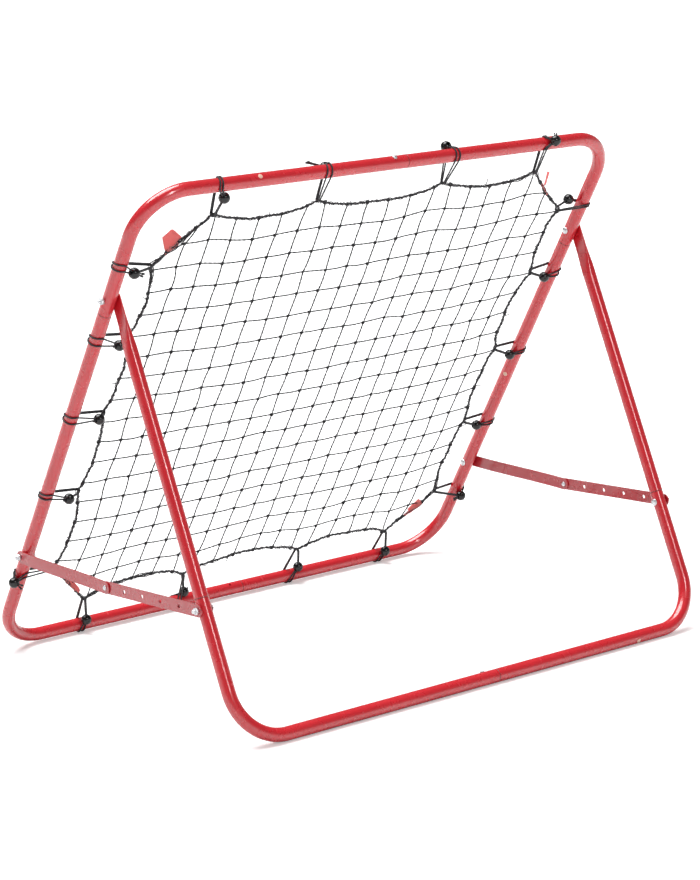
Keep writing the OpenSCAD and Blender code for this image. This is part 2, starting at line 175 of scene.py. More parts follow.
def path_axes(path, closed=False):
    """Unit tangents and two normals along a path, turned as little as possible."""
    count = len(path)
    if closed:
        tangent = np.roll(path, -1, 0) - np.roll(path, 1, 0)
    else:
        tangent = np.empty_like(path)
        tangent[1:-1] = path[2:] - path[:-2]
        tangent[0], tangent[-1] = path[1] - path[0], path[-1] - path[-2]
    tangent /= np.maximum(np.linalg.norm(tangent, axis=1), 1e-9)[:, None]
    side = np.array((0.31, 0.17, 0.93))
    side = side - (side @ tangent[0]) * tangent[0]
    if np.linalg.norm(side) < 1e-3:     # the path sets off along the chosen direction
        side = np.cross(tangent[0], (0.2, 1.0, 0.1))
    side = unit(side)
    normal = np.empty_like(path)
    normal[0] = side
    for i in range(1, count):
        side = unit(side - (side @ tangent[i]) * tangent[i])
        normal[i] = side
    if closed:   # spread the leftover turn along the path
        end = unit(normal[-1] - (normal[-1] @ tangent[0]) * tangent[0])
        leftover = math.atan2(np.cross(end, normal[0]) @ tangent[0], end @ normal[0])
        twist = (leftover * np.arange(count) / count)[:, None]
        normal = normal * np.cos(twist) + np.cross(tangent, normal) * np.sin(twist)
    return tangent, normal, np.cross(tangent, normal)


def lengths(path):
    """The length run at each point of a path."""
    return np.concatenate([[0], np.cumsum(np.linalg.norm(np.diff(path, axis=0), axis=1))])


def tube_rings(path, radius, sides, closed=False, shape=None):
    """The rings of a swept tube; shape(angle, length) scales the radius."""
    _, normal, binormal = path_axes(path, closed)
    along = lengths(path)
    angle = 2 * np.pi * np.arange(sides) / sides
    radii = np.broadcast_to(np.asarray(radius, float).reshape(-1, 1), (len(path), sides)).copy()
    if shape is not None:
        radii = radii * shape(angle[None, :], along[:, None])
    spokes = (np.cos(angle)[None, :, None] * normal[:, None]
              + np.sin(angle)[None, :, None] * binormal[:, None])
    return path[:, None] + radii[..., None] * spokes, along


def skin(surface, rings, along, closed=False, cap=True, gap=0.0):
    """Joins rings with quads. UV is (length along, share of a turn); gap closes a loop."""
    count, sides = rings.shape[:2]
    start = surface.verts(rings.reshape(-1, 3))
    ring, side = np.meshgrid(np.arange(count if closed else count - 1), np.arange(sides),
                             indexing="ij")
    here, there = ring * sides, (ring + 1) % count * sides
    beside = (side + 1) % sides
    faces = np.stack([here + side, here + beside, there + beside, there + side], -1)
    along = np.append(along, along[-1] + gap)
    u0, u1, v0, v1 = along[ring], along[ring + 1], side / sides, (side + 1) / sides
    corners = [np.stack(pair, -1) for pair in ((u0, v0), (u0, v1), (u1, v1), (u1, v0))]
    surface.quads(faces.reshape(-1, 4) + start, np.stack(corners, 2).reshape(-1, 4, 2))
    if cap and not closed:
        turn = np.arange(sides)
        for end in (0, count - 1):
            centre = np.full(sides, surface.verts(rings[end].mean(0)[None]))
            first = end * sides + turn + start
            second = end * sides + (turn + 1) % sides + start
            pair = [second, first] if end == 0 else [first, second]
            uv = np.zeros((sides, 3, 2))
            uv[:, :, 0] = along[end]
            uv[:, 1, 1] = turn / sides
            uv[:, 2, 1] = (turn + 1) / sides
            surface.tris(np.stack([centre, *pair], 1), uv)
    return start


def sweep(surface, path, radius, sides=8, closed=False, shape=None):
    rings, along = tube_rings(path, radius, sides, closed, shape)
    gap = float(np.linalg.norm(path[0] - path[-1])) if closed else 0.0
    skin(surface, rings, along, closed, gap=gap)


def revolve(surface, profile, centre, axis, sides, bump=None, first=(0.3, 0.9, 0.2), cap=True):
    """Turns (radius, height) pairs about an axis. bump(direction, distance) moves points."""
    axis = unit(np.asarray(axis, float))
    first = np.array(first)
    first = unit(first - (first @ axis) * axis)
    second = np.cross(axis, first)
    angle = 2 * np.pi * np.arange(sides) / sides
    profile = np.asarray(profile, float)
    spokes = np.cos(angle)[:, None] * first + np.sin(angle)[:, None] * second
    rings = profile[:, None, :1] * spokes[None] + profile[:, None, 1:2] * axis
    if bump is not None:
        distance = np.linalg.norm(rings, axis=2, keepdims=True)
        rings = rings + (rings / distance) * bump(rings / distance, distance)
    skin(surface, rings + centre, np.arange(len(profile), dtype=float), cap=cap)


def resample(path, step, closed=False):
    if closed:
        path = np.vstack([path, path[:1]])
    along = lengths(path)
    stops = np.linspace(0, along[-1], max(2, int(round(along[-1] / step)) + 1))
    evened = np.stack([np.interp(stops, along, path[:, k]) for k in range(path.shape[1])], 1)
    return evened[:-1] if closed else evened


def smooth_path(path, times, closed=False):
    for _ in range(times):
        if closed:
            path = 0.5 * path + 0.25 * (np.roll(path, 1, 0) + np.roll(path, -1, 0))
        else:
            eased = path.copy()
            eased[1:-1] = 0.5 * path[1:-1] + 0.25 * (path[2:] + path[:-2])
            path = eased
    return path


# ---------------------------------------------------------------- materials
# sockets of a colour Mix node
MIX_FACTOR, MIX_A, MIX_B, MIX_RESULT = 0, 6, 7, 2


def srgb(*rgb):
    """A linear colour from 0-255 sRGB values."""
    shares = [c / 255 for c in rgb]
    return (*(c / 12.92 if c <= 0.04045 else ((c + 0.055) / 1.055) ** 2.4 for c in shares), 1.0)


class Mat:
    """A material and the node chains its look is made of."""

    def __init__(self, name):
        self.material = bpy.data.materials.new(name)
        self.material.use_nodes = True
        self.tree = self.material.node_tree
        self.shader = self.tree.nodes["Principled BSDF"]
        self.coords = self.node("TexCoord")

    def set(self, **values):
        for socket, value in values.items():
            self.shader.inputs[socket.replace("_", " ")].default_value = value

    def node(self, kind, **settings):
        node = self.tree.nodes.new("ShaderNode" + kind)
        for key, value in settings.items():
            setattr(node, key, value)
        return node

    def link(self, output, socket):
        self.tree.links.new(output, socket)

    def to(self, socket, output):
        self.link(output, self.shader.inputs[socket])

    def noise(self, scale, detail=3.0, rough=0.5):
        node = self.node("TexNoise")
        node.inputs["Scale"].default_value = scale
        node.inputs["Detail"].default_value = detail
        node.inputs["Roughness"].default_value = rough
        self.link(self.coords.outputs["Object"], node.inputs["Vector"])
        return node.outputs["Fac"]

    def uv(self):
        """The UV map's two parts."""
        node = self.node("SeparateXYZ")
        self.link(self.coords.outputs["UV"], node.inputs[0])
        return node.outputs["X"], node.outputs["Y"]

    def ramp(self, factor, span, colors):
        """Runs from the first colour to the second over the span."""
        node = self.node("ValToRGB")
        for element, position, color in zip(node.color_ramp.elements, span, colors):
            element.position = position
            element.color = color
        self.link(factor, node.inputs["Fac"])
        return node.outputs["Color"]

    def remap(self, value, source, target):
        node = self.node("MapRange")
        for socket, number in zip(("From Min", "From Max", "To Min", "To Max"), source + target):
            node.inputs[socket].default_value = number
        self.link(value, node.inputs["Value"])
        return node.outputs["Result"]

    def math(self, operation, *values):
        node = self.node("Math", operation=operation)
        for socket, value in zip(node.inputs, values):
            if isinstance(value, (int, float)):
                socket.default_value = value
            else:
                self.link(value, socket)
        return node.outputs[0]

    def blend(self, first, second, share):
        """Adds two values, share being the first one's part."""
        return self.math("ADD", self.math("MULTIPLY", first, share),
                         self.math("MULTIPLY", second, 1 - share))

    def mix(self, factor, color, other):
        node = self.node("Mix", data_type="RGBA")
        self.link(factor, node.inputs[MIX_FACTOR])
        self.link(color, node.inputs[MIX_A])
        node.inputs[MIX_B].default_value = other
        return node.outputs[MIX_RESULT]

    def bump(self, height, distance, strength, normal=None):
        node = self.node("Bump")
        node.inputs["Distance"].default_value = distance
        node.inputs["Strength"].default_value = strength
        self.link(height, node.inputs["Height"])
        if normal is not None:
            self.link(normal, node.inputs["Normal"])
        return node.outputs["Normal"]


def seam_mask(m, seams):
    """1 on the planes given by (direction, metres along it), 0 elsewhere."""
    mask = None
    for direction, distance in seams:
        dot = m.node("VectorMath", operation="DOT_PRODUCT")
        m.link(m.coords.outputs["Object"], dot.inputs[0])
        dot.inputs[1].default_value = tuple(float(v) for v in direction)
        off = m.math("ABSOLUTE", m.math("SUBTRACT", dot.outputs["Value"], float(distance)))
        line = m.remap(off, source=(0.00035, 0.0009), target=(1.0, 0.0))
        mask = line if mask is None else m.math("MAXIMUM", mask, line)
    return mask


def powder(name, light=(214, 33, 45), dark=(207, 29, 41), seams=()):
    """Glossy powder coat: orange peel, slight shade variation, dark lines where tubes meet."""
    m = Mat(name)
    m.set(IOR=1.7, Coat_Weight=0.6, Coat_Roughness=0.06, Coat_IOR=1.5)
    clouds = m.noise(scale=9.0)
    specks = m.noise(scale=70.0, detail=2.0)
    color = m.ramp(m.blend(clouds, specks, share=0.75), span=(0.35, 0.65),
                   colors=(srgb(*dark), srgb(*light)))
    rough = m.remap(m.noise(scale=30.0, detail=4.0, rough=0.6),
                    source=(0.3, 0.75), target=(0.2, 0.33))
    peel = m.noise(scale=260.0, detail=1.0, rough=0.3)
    normal = m.bump(peel, distance=0.00003, strength=0.08)
    if seams:
        line_tint, line_rough = 0.65, 0.4      # how far a seam darkens and roughens
        mask = seam_mask(m, seams)
        color = m.mix(m.math("MULTIPLY", mask, line_tint), color, srgb(60, 8, 14))
        normal = m.bump(m.math("SUBTRACT", 1.0, mask), distance=0.0004, strength=0.8,
                        normal=normal)
        rough = m.math("ADD", rough, m.math("MULTIPLY", mask, line_rough))
    m.to("Base Color", color)
    m.to("Roughness", rough)
    m.to("Normal", normal)
    m.to("Coat Normal", m.bump(m.noise(scale=150.0, detail=1.0, rough=0.3),
                               distance=0.00003, strength=0.05))
    return m.material


def zinc(name):
    m = Mat(name)
    m.set(Metallic=0.8)
    tint, shade = (236, 237, 240), 0.86
    m.to("Base Color", m.ramp(m.noise(scale=260.0, detail=4.0, rough=0.6), span=(0.3, 0.7),
                              colors=(srgb(*[c * shade for c in tint]), srgb(*tint))))
    m.to("Roughness", m.remap(m.noise(scale=500.0), source=(0.3, 0.7), target=(0.2, 0.4)))
    m.to("Normal", m.bump(m.noise(scale=1400.0, detail=2.0), distance=0.00003, strength=0.4))
    return m.material


def twine(name, light, dark, turns, pitch, fuzz):
    """Twisted black twine: plies wind along UV x, in mm, as UV y goes round the cord."""
    m = Mat(name)
    m.set(Roughness=0.72, Sheen_Weight=fuzz, Sheen_Roughness=0.5,
          Sheen_Tint=(0.7, 0.7, 0.75, 1), Specular_IOR_Level=0.35)
    along, around = m.uv()
    fibre_pitch, fibre_turns = pitch * 0.9, -14

    def waves(pitch, turns):
        return m.math("SINE", m.math("ADD", m.math("MULTIPLY", along, TURN / pitch),
                                     m.math("MULTIPLY", around, TURN * turns)))

    height = m.blend(waves(pitch, turns), waves(fibre_pitch, fibre_turns), share=0.7)
    shade = m.blend(m.remap(height, source=(-1, 1), target=(0, 1)),
                    m.noise(scale=900.0, detail=2.0), share=0.5)
    m.to("Base Color", m.ramp(shade, span=(0.25, 0.75), colors=(srgb(*dark), srgb(*light))))
    m.to("Normal", m.bump(height, distance=0.00025, strength=0.7))
    return m.material


def elastic(name):
    """Braided black elastic: two sets of yarns crossing at an angle."""
    m = Mat(name)
    m.set(Roughness=0.55, Sheen_Weight=0.15, Sheen_Roughness=0.4, Specular_IOR_Level=0.4)
    along, around = m.uv()
    pitch, yarns = 2.6, 6
    u = m.math("MULTIPLY", along, TURN / pitch)
    v = m.math("MULTIPLY", around, TURN * yarns)
    one_way = m.math("SINE", m.math("ADD", u, v))
    other_way = m.math("SINE", m.math("SUBTRACT", u, v))
    both = m.math("ADD", m.math("ABSOLUTE", one_way), m.math("ABSOLUTE", other_way))
    height = m.math("MULTIPLY", both, 0.5)      # their mean
    m.to("Base Color", m.ramp(m.blend(height, m.noise(scale=700.0), share=0.6),
                              span=(0.3, 0.75), colors=(srgb(16, 16, 18), srgb(52, 52, 56))))
    m.to("Normal", m.bump(height, distance=0.0002, strength=0.6))
    return m.material


def gloss_black(name):
    m = Mat(name)
    m.set(IOR=1.4, Coat_Weight=0.35, Coat_Roughness=0.05)
    scuffs = m.noise(scale=240.0, detail=5.0, rough=0.65)
    m.to("Base Color", m.ramp(m.noise(scale=120.0, detail=2.0), span=(0.3, 0.7),
                              colors=(srgb(9, 9, 10), srgb(19, 19, 21))))
    m.to("Roughness", m.remap(scuffs, source=(0.35, 0.7), target=(0.12, 0.3)))
    m.to("Normal", m.bump(m.noise(scale=900.0, detail=2.0), distance=0.00004, strength=0.3))
    return m.material


def cloth_red(name):
    """Woven cloth that lets some light through."""
    m = Mat(name)
    m.set(Roughness=0.7, Sheen_Weight=0.4, Sheen_Roughness=0.4, Sheen_Tint=(1, 0.75, 0.75, 1),
          Specular_IOR_Level=0.3)
    thread_pitch = 0.9
    weave = m.math("MULTIPLY", *(m.math("SINE", m.math("MULTIPLY", part, TURN / thread_pitch))
                                 for part in m.uv()))
    shade = m.blend(m.remap(weave, source=(-1, 1), target=(0, 1)), m.noise(scale=150.0),
                    share=0.4)
    m.to("Base Color", m.ramp(shade, span=(0.25, 0.75),
                              colors=(srgb(255, 128, 128), srgb(255, 180, 176))))
    m.to("Normal", m.bump(weave, distance=0.0002, strength=0.6))
    glow = m.node("BsdfTranslucent")
    glow.inputs["Color"].default_value = srgb(255, 170, 168)
    mix = m.node("MixShader")
    mix.inputs["Fac"].default_value = 0.55      # the translucent part
    m.link(m.shader.outputs[0], mix.inputs[1])
    m.link(glow.outputs[0], mix.inputs[2])
    m.link(mix.outputs[0], m.tree.nodes["Material Output"].inputs["Surface"])
    return m.material


def pale_plastic(name):
    m = Mat(name)
    m.set(Roughness=0.45, Subsurface_Weight=0.1, Subsurface_Radius=(0.002, 0.001, 0.001))
    m.to("Base Color", m.ramp(m.noise(scale=300.0), span=(0.3, 0.7),
                              colors=(srgb(232, 188, 168), srgb(246, 208, 190))))
    m.to("Normal", m.bump(m.noise(scale=800.0), distance=0.00004, strength=0.4))
    return m.material


# seams: a cut across the side tubes or legs, and one in the cross tubes 25 mm left of middle
SEAM_LEFT = 25
BASE = np.array([0.0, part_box("left_base_tube")[1][1] - TUBE / 1000, TUBE / 1000])   # metres
FRAME_SEAMS = [(UP, (ORIGIN @ UP + 712) / 1000), (ACROSS, (CENTRE_X - SEAM_LEFT) / 1000)]
STAND_SEAMS = [(LEG_UP, LEG_UP @ BASE + 0.2275), (ACROSS, STAND_X - SEAM_LEFT / 1000)]
# the stay bars' red is a darker copy of the same powder coat: painted shade for the smaller share of
# light the bars catch
RED_BARS_PAINTED_SHADE = powder("powder_coat_red", light=(190, 35, 47), dark=(183, 31, 42))
RED_FRAME = powder("powder_coat_red_frame", seams=FRAME_SEAMS)
RED_STAND = powder("powder_coat_red_stand", seams=STAND_SEAMS)
ZINC = zinc("zinc_plate")
TWINE = twine("net_twine", light=(33, 33, 36), dark=(10, 10, 12), turns=2, pitch=7.0, fuzz=0.25)
ROPE = twine("border_rope", light=(44, 43, 46), dark=(11, 11, 13), turns=5, pitch=5.0, fuzz=0.5)
ELASTIC = elastic("bungee_elastic")
BALL = gloss_black("ball_plastic")
TAG = cloth_red("tag_fabric")
PLUG = pale_plastic("plug_plastic")


# ---------------------------------------------------------------- CAD pieces kept as they are
def finish_of(node):
    # the stay bars take the darker copy of the red, which is painted shade
    if node.endswith("_bar"):
        return RED_BARS_PAINTED_SHADE
    if node.endswith(("_leg", "base_tube")):
        return RED_STAND
    if node.endswith("_tube"):
        return RED_FRAME
    if "plug" in node:
        return PLUG
    if any(word in node for word in ("bolt", "nut", "screw")):
        return ZINC
    return None


for node, piece in NODES.items():
    if finish_of(node):
        piece.data.materials.clear()
        piece.data.materials.append(finish_of(node))

# ---------------------------------------------------------------- bungee places
# tie: where the bungee pulls the net's border. bow: how far the border bows inwards between
# this tie and the next. far, near: where the cord crosses the tube's side away from the stand
# and its side towards it, measured along the tube. spread: the gap between the two strands
# there. ball: the ball's centre. tie and ball are (across, up the slope, out).
Bungee = namedtuple("Bungee", "tie bow far near spread ball")
BUNGEES = {name: Bungee(*row) for name, row in {
    "top_1": ((327, 884, 1), 20, 329, 337, 5.6, (322, 918.5, 8.5)),
    "top_2": ((127, 885, 0), 22, 125, 134, 10.0, (118, 930, -18.6)),
    "top_3": ((-125, 886, 0), 21, -128, -124, 8.0, (-123, 940, -20.3)),
    "top_4": ((-323, 883, 1), 2, -325, -312, 5.5, (-325, 953.5, 14.0)),
    "left_1": ((-417, 789, 0), 13, 791, 799, 4.5, (-442, 801, -8)),
    "left_2": ((-417, 657, 1), 17, 656, 652, 11.0, (-449, 642, 5.7)),
    "left_3": ((-414, 484, 0), 15, 478, 475, 7.0, (-449, 466, 5.5)),
    "left_4": ((-416, 314, 1), 17, 308, 308, 8.5, (-448.5, 296, 1)),
    "left_5": ((-417, 143, 1), 3, 137, 144, 8.0, (-465, 136, 20.6)),
    "bottom_1": ((-328, 59, 2), 22, -334, -333, 9.0, (-341, 17.3, 10.9)),
    "bottom_2": ((-126, 63, 2), 28, -130, -128, 8.0, (-145, 20.2, 3)),
    "bottom_3": ((121, 66, 1), 26, 116, 115, 8.0, (102, 20.7, 0)),
    "bottom_4": ((323, 64, 2), 3, 309, 312, 8.0, (307.5, 18.5, 9.2)),
    "right_1": ((415, 796, 1), 2, 800, 809, 12.0, (451, 799, 15)),
    "right_2": ((412, 660, 1), 14, 658, 665, 15.0, (430, 650, 10)),
    "right_3": ((413, 501, 1), 14, 498, 505, 13.5, (423, 498, 11)),
    "right_4": ((412, 334, 1), 14, 330, 343, 9.5, (430, 328, 10)),
    "right_5": ((412, 160, 1), 15, 157, 169, 10.0, (486.7, 155, 10.4)),
}.items()}

# ---------------------------------------------------------------- border path
# once round the net from top_1, so the right side is taken upwards
_rows = list(BUNGEES.values())
BORDER_TIES = _rows[:13] + _rows[:12:-1]
SPANS = len(BORDER_TIES)
SPAN_STEPS = 40
# the spans that cut the net's corners
TOP_LEFT, BOTTOM_LEFT, BOTTOM_RIGHT, TOP_RIGHT = 3, 8, 12, 17
CORNERS = (TOP_RIGHT, TOP_LEFT, BOTTOM_LEFT, BOTTOM_RIGHT)


def span_point(i, t):
    """A point on the border after tie i: a flat scallop with a quick drop at each tie."""
    start = np.array(BORDER_TIES[i].tie, float)
    end = np.array(BORDER_TIES[(i + 1) % SPANS].tie, float)
    direction = unit((end - start)[:2])
    reach = abs(2 * t - 1)
    inward = BORDER_TIES[i].bow * (0.72 * (1 - reach ** 2.2) + 0.28 * (1 - reach ** 12))
    point = start + (end - start) * t
    return point + np.array([-direction[1] * inward, direction[0] * inward, 0.0])


def loop_noise(shape, rounds):
    """Random numbers smoothed round a closed loop."""
    noise = rng.normal(0, 1.0, shape)
    for _ in range(rounds):
        noise = (np.roll(noise, 1, 0) + noise + np.roll(noise, -1, 0)) / 3
    return noise


BORDER = smooth_path(np.array([span_point(i, t) for i in range(SPANS)
                               for t in np.linspace(0, 1, SPAN_STEPS, endpoint=False)]),
                     2, closed=True)
BORDER_WOBBLE = 3.2
BORDER += loop_noise((len(BORDER), 3), rounds=14) * BORDER_WOBBLE


def border_hit(start, direction):
    """Where a ray in the frame's plane meets the border."""
    following = np.roll(BORDER, -1, 0)
    edge = following[:, :2] - BORDER[:, :2]
    gap = BORDER[:, :2] - start
    cross = direction[0] * edge[:, 1] - direction[1] * edge[:, 0]
    with np.errstate(divide="ignore", invalid="ignore"):
        along_ray = (gap[:, 0] * edge[:, 1] - gap[:, 1] * edge[:, 0]) / cross
        along_edge = (gap[:, 0] * direction[1] - gap[:, 1] * direction[0]) / cross
    hits = np.where((along_ray > 0) & (along_edge >= 0) & (along_edge <= 1))[0]
    k = hits[np.argmin(along_ray[hits])]
    return BORDER[k] + (following[k] - BORDER[k]) * along_edge[k]


def border_point(span, t):
    return BORDER[(span * SPAN_STEPS + int(round(t * SPAN_STEPS))) % len(BORDER)]


# ---------------------------------------------------------------- net knots
COLUMNS, ROWS = 18, 17
COLUMN_PITCH, ROW_PITCH = 42.5, 43.75
FIRST_ROW = 129.0
COLUMN_X = (np.arange(COLUMNS) - (COLUMNS - 1) / 2) * COLUMN_PITCH
ROW_UP = FIRST_ROW + np.arange(ROWS) * ROW_PITCH


def relax(top, bottom, left, right, along, across):
    """Spreads the border's pull into the grid, by its stiffness along and across columns."""
    moved = np.zeros((COLUMNS, ROWS))
    for _ in range(400):
        from_left, from_right = np.vstack([left, moved[:-1]]), np.vstack([moved[1:], right])
        below = np.hstack([bottom[:, None], moved[:, :-1]])
        above = np.hstack([moved[:, 1:], top[:, None]])
        moved = ((along * (above + below) + across * (from_left + from_right))
                 / (2 * along + 2 * across))
    return moved


def border_hits(starts, direction):
    return np.array([border_hit(np.array(start), np.array(direction)) for start in starts])


top_hits = border_hits([(x, 800.0) for x in COLUMN_X], (0.0, 1.0))
bottom_hits = border_hits([(x, 150.0) for x in COLUMN_X], (0.0, -1.0))
left_hits = border_hits([(-340.0, up) for up in ROW_UP], (-1.0, 0.0))
right_hits = border_hits([(340.0, up) for up in ROW_UP], (1.0, 0.0))
# strings near a tie are drawn towards it
TIE_DRAW, TIE_REACH = 0.35, 26.0
for hits in (top_hits, bottom_hits):
    for hit in hits:
        near = min((b.tie for b in BORDER_TIES),
                   key=lambda tie: np.hypot(tie[0] - hit[0], tie[1] - hit[1]))
        pull = math.exp(-((near[0] - hit[0]) / TIE_REACH) ** 2)
        hit[:2] += (np.array(near[:2]) - hit[:2]) * TIE_DRAW * pull
pull_top = top_hits[:, 1] - (ROW_UP[-1] + ROW_PITCH)
pull_bottom = bottom_hits[:, 1] - (ROW_UP[0] - ROW_PITCH)
pull_left = left_hits[:, 0] - (COLUMN_X[0] - COLUMN_PITCH)
pull_right = right_hits[:, 0] - (COLUMN_X[-1] + COLUMN_PITCH)
CORNER_SLACK = 0.6
for pull in (pull_top, pull_bottom, pull_left, pull_right):
    pull[0], pull[-1] = pull[1] * CORNER_SLACK, pull[-2] * CORNER_SLACK
STIFF, SOFT = 3.2, 1.0
move_up = relax(pull_top, pull_bottom, np.zeros(ROWS), np.zeros(ROWS), STIFF, SOFT)
move_x = relax(np.zeros(COLUMNS), np.zeros(COLUMNS), pull_left, pull_right, SOFT, STIFF)
lumps = rng.normal(0, 1, (2, COLUMNS + 2, ROWS + 2))
for _ in range(3):
    lumps = (lumps + np.roll(lumps, 1, 1) + np.roll(lumps, -1, 1)
             + np.roll(lumps, 1, 2) + np.roll(lumps, -1, 2)) / 5
lumps = lumps[:, 1:-1, 1:-1]
LUMP = 2.6
GRID = (COLUMNS, ROWS)
KNOT_X = COLUMN_X[:, None] + move_x + lumps[0] * LUMP + rng.normal(0, 0.7, GRID)
KNOT_UP = ROW_UP[None, :] + move_up + lumps[1] * LUMP + rng.normal(0, 0.8, GRID)


def bulge(x, up):
    """How far the net bellies out towards the stand."""
    depth, half_width, half_height = 7.0, 412.0, 405.0
    fullness = (np.clip(1 - (x / half_width) ** 2, 0, 1)
                * np.clip(1 - ((up - MIDDLE) / half_height) ** 2, 0, 1))
    return 1.0 + depth * fullness ** 0.8


KNOT_OUT = bulge(KNOT_X, KNOT_UP) + rng.normal(0, 0.5, GRID)

# ---------------------------------------------------------------- net strings
STRING_RADIUS = 1.08
# quadrant and its (across, up the slope) direction from the middle
QUADRANTS = {"top": (0, 1), "bottom": (0, -1), "left": (-1, 0), "right": (1, 0)}
net = {name: Surface() for name in QUADRANTS}


def quadrant(x, up):
    rise = up - MIDDLE
    if abs(x) > abs(rise):
        return "right" if x > 0 else "left"
    return "top" if rise > 0 else "bottom"


def string_path(knots, start, end):
    """A string through its knots, with a little slack between them."""
    points = [start, *knots, end]
    path = []
    for a, b in zip(points[:-1], points[1:]):
        step = b - a
        length = np.linalg.norm(step)
        side = np.array([-step[1], step[0], 0]) / max(length, 1e-6)
        sideways = rng.normal(0, 0.5)
        outward = rng.normal(0, 0.55)
        count = max(4, int(round(length / 2.0)))
        t = np.linspace(0, 1, count, endpoint=False)[:, None]
        arch = np.sin(np.pi * t)
        drop = 0.45 if abs(step[0]) > abs(step[1]) else 0.0     # cross strings hang a little
        path.append(a + step * t + side * sideways * arch
                    + np.array([0, -drop, 0.15 * drop]) * arch
                    + np.array([0, 0, outward]) * arch)
    path.append(points[-1][None])
    return np.concatenate(path)


def add_string(path):
    """Sweeps a string and shares it out between the quadrants, cut on the diagonals."""
    side = np.abs(path[:, 0]) - np.abs(path[:, 1] - MIDDLE)
    cut = [path[0]]
    for k in range(1, len(path)):
        if side[k] * side[k - 1] < 0:
            t = side[k - 1] / (side[k - 1] - side[k])
            if 0.02 < t < 0.98:
                cut.append(path[k - 1] + (path[k] - path[k - 1]) * t)
        cut.append(path[k])
    cut = np.array(cut)
    phase = rng.uniform(0, 6.28)
    oval, twist_pitch = 0.17, 9.0
    rings, along = tube_rings(
        frame_point(*cut.T), STRING_RADIUS, 8,
        shape=lambda a, l: 1 + oval * np.cos(2 * a + 2 * np.pi * l / twist_pitch + phase))
    homes = [quadrant(m[0], m[1]) for m in (cut[1:] + cut[:-1]) / 2]
    k = 0
    while k < len(homes):
        end = k
        while end + 1 < len(homes) and homes[end + 1] == homes[k]:
            end += 1
        skin(net[homes[k]], rings[k:end + 2], along[k:end + 2])
        k = end + 1


def string_end(hits, i, first, last):
    """The border point for string i; the outermost two end on the corner spans."""
    if i == 0:
        return border_point(*first)
    return border_point(*last) if i == len(hits) - 1 else hits[i]


# columns pass on the stand's side of the rows
KNOT_LIFT = 0.6
END_LIFT = np.array([0, 0, 1.2])
for i in range(COLUMNS):
    knots = np.stack([KNOT_X[i], KNOT_UP[i], KNOT_OUT[i] + KNOT_LIFT], 1)
    start = string_end(bottom_hits, i, (BOTTOM_LEFT, 0.72), (BOTTOM_RIGHT, 0.3))
    end = string_end(top_hits, i, (TOP_LEFT, 0.26), (TOP_RIGHT, 0.74))
    add_string(string_path(knots, start + END_LIFT, end + END_LIFT))
for j in range(ROWS):
    knots = np.stack([KNOT_X[:, j], KNOT_UP[:, j], KNOT_OUT[:, j] - KNOT_LIFT], 1)
    start = string_end(left_hits, j, (BOTTOM_LEFT, 0.3), (TOP_LEFT, 0.74))
    end = string_end(right_hits, j, (BOTTOM_RIGHT, 0.72), (TOP_RIGHT, 0.26))
    add_string(string_path(knots, start - END_LIFT, end - END_LIFT))


def knot(surface, centre, size, turn):
    """A small netting knot: two crossed turns of string round the crossing."""
    half_width, half_depth, skew, radius = 2.35, 1.75, 2.2, 0.88
    t = np.linspace(0, 2 * np.pi, 14, endpoint=False)[:, None]
    for angle, tilt in ((0.79, 0.25), (-0.79, -0.2)):
        dx, dy = math.cos(angle + turn), math.sin(angle + turn)
        lengthways = ACROSS * dx + UP * dy
        side = -ACROSS * dy + UP * dx
        path = centre + (np.cos(t) * lengthways * half_width + np.sin(t) * OUT * half_depth
                         + np.sin(2 * t) * side * tilt * skew) * size
        sweep(surface, path, radius * size, 6, closed=True)


for i in range(COLUMNS):
    for j in range(ROWS):
        place = KNOT_X[i, j], KNOT_UP[i, j], KNOT_OUT[i, j]
        knot(net[quadrant(*place[:2])], frame_point(*place),
             1.0 + rng.normal(0, 0.07), rng.normal(0, 0.2))

NET_REACH = 405.0           # from the net's middle to its edge
for name, (x, up) in QUADRANTS.items():
    piece = net[name].build("net_twine_" + name, TWINE, slot="twine_black")
    start = frame_point(x * NET_REACH, MIDDLE + up * NET_REACH) / 1000
    end = frame_point(0, MIDDLE) / 1000
    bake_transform(piece)
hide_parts("net_panel")

# ---------------------------------------------------------------- border rope
rope = Surface()
ROPE_LINE = frame_point(*resample(BORDER, 1.9, closed=True).T)
ROPE_TANGENT, ROPE_NORMAL, ROPE_BINORMAL = path_axes(ROPE_LINE, closed=True)
rope_along = lengths(ROPE_LINE)
ROPE_LENGTH = rope_along[-1] + np.linalg.norm(ROPE_LINE[0] - ROPE_LINE[-1])
ROPE_COUNT = len(ROPE_LINE)


def add_plies(lay=15.0, offset=0.86, radius=0.92):
    """The three strands the rope is laid from."""
    turns = round(ROPE_LENGTH / lay)
    for k in range(3):
        angle = (2 * np.pi * (rope_along / ROPE_LENGTH * turns + k / 3))[:, None]
        path = ROPE_LINE + offset * (np.cos(angle) * ROPE_NORMAL + np.sin(angle) * ROPE_BINORMAL)
        sweep(rope, path, radius, 7, closed=True,
              shape=lambda a, l: 1 + 0.07 * np.sin(3 * a + l * 1.9 + k * 2.1))


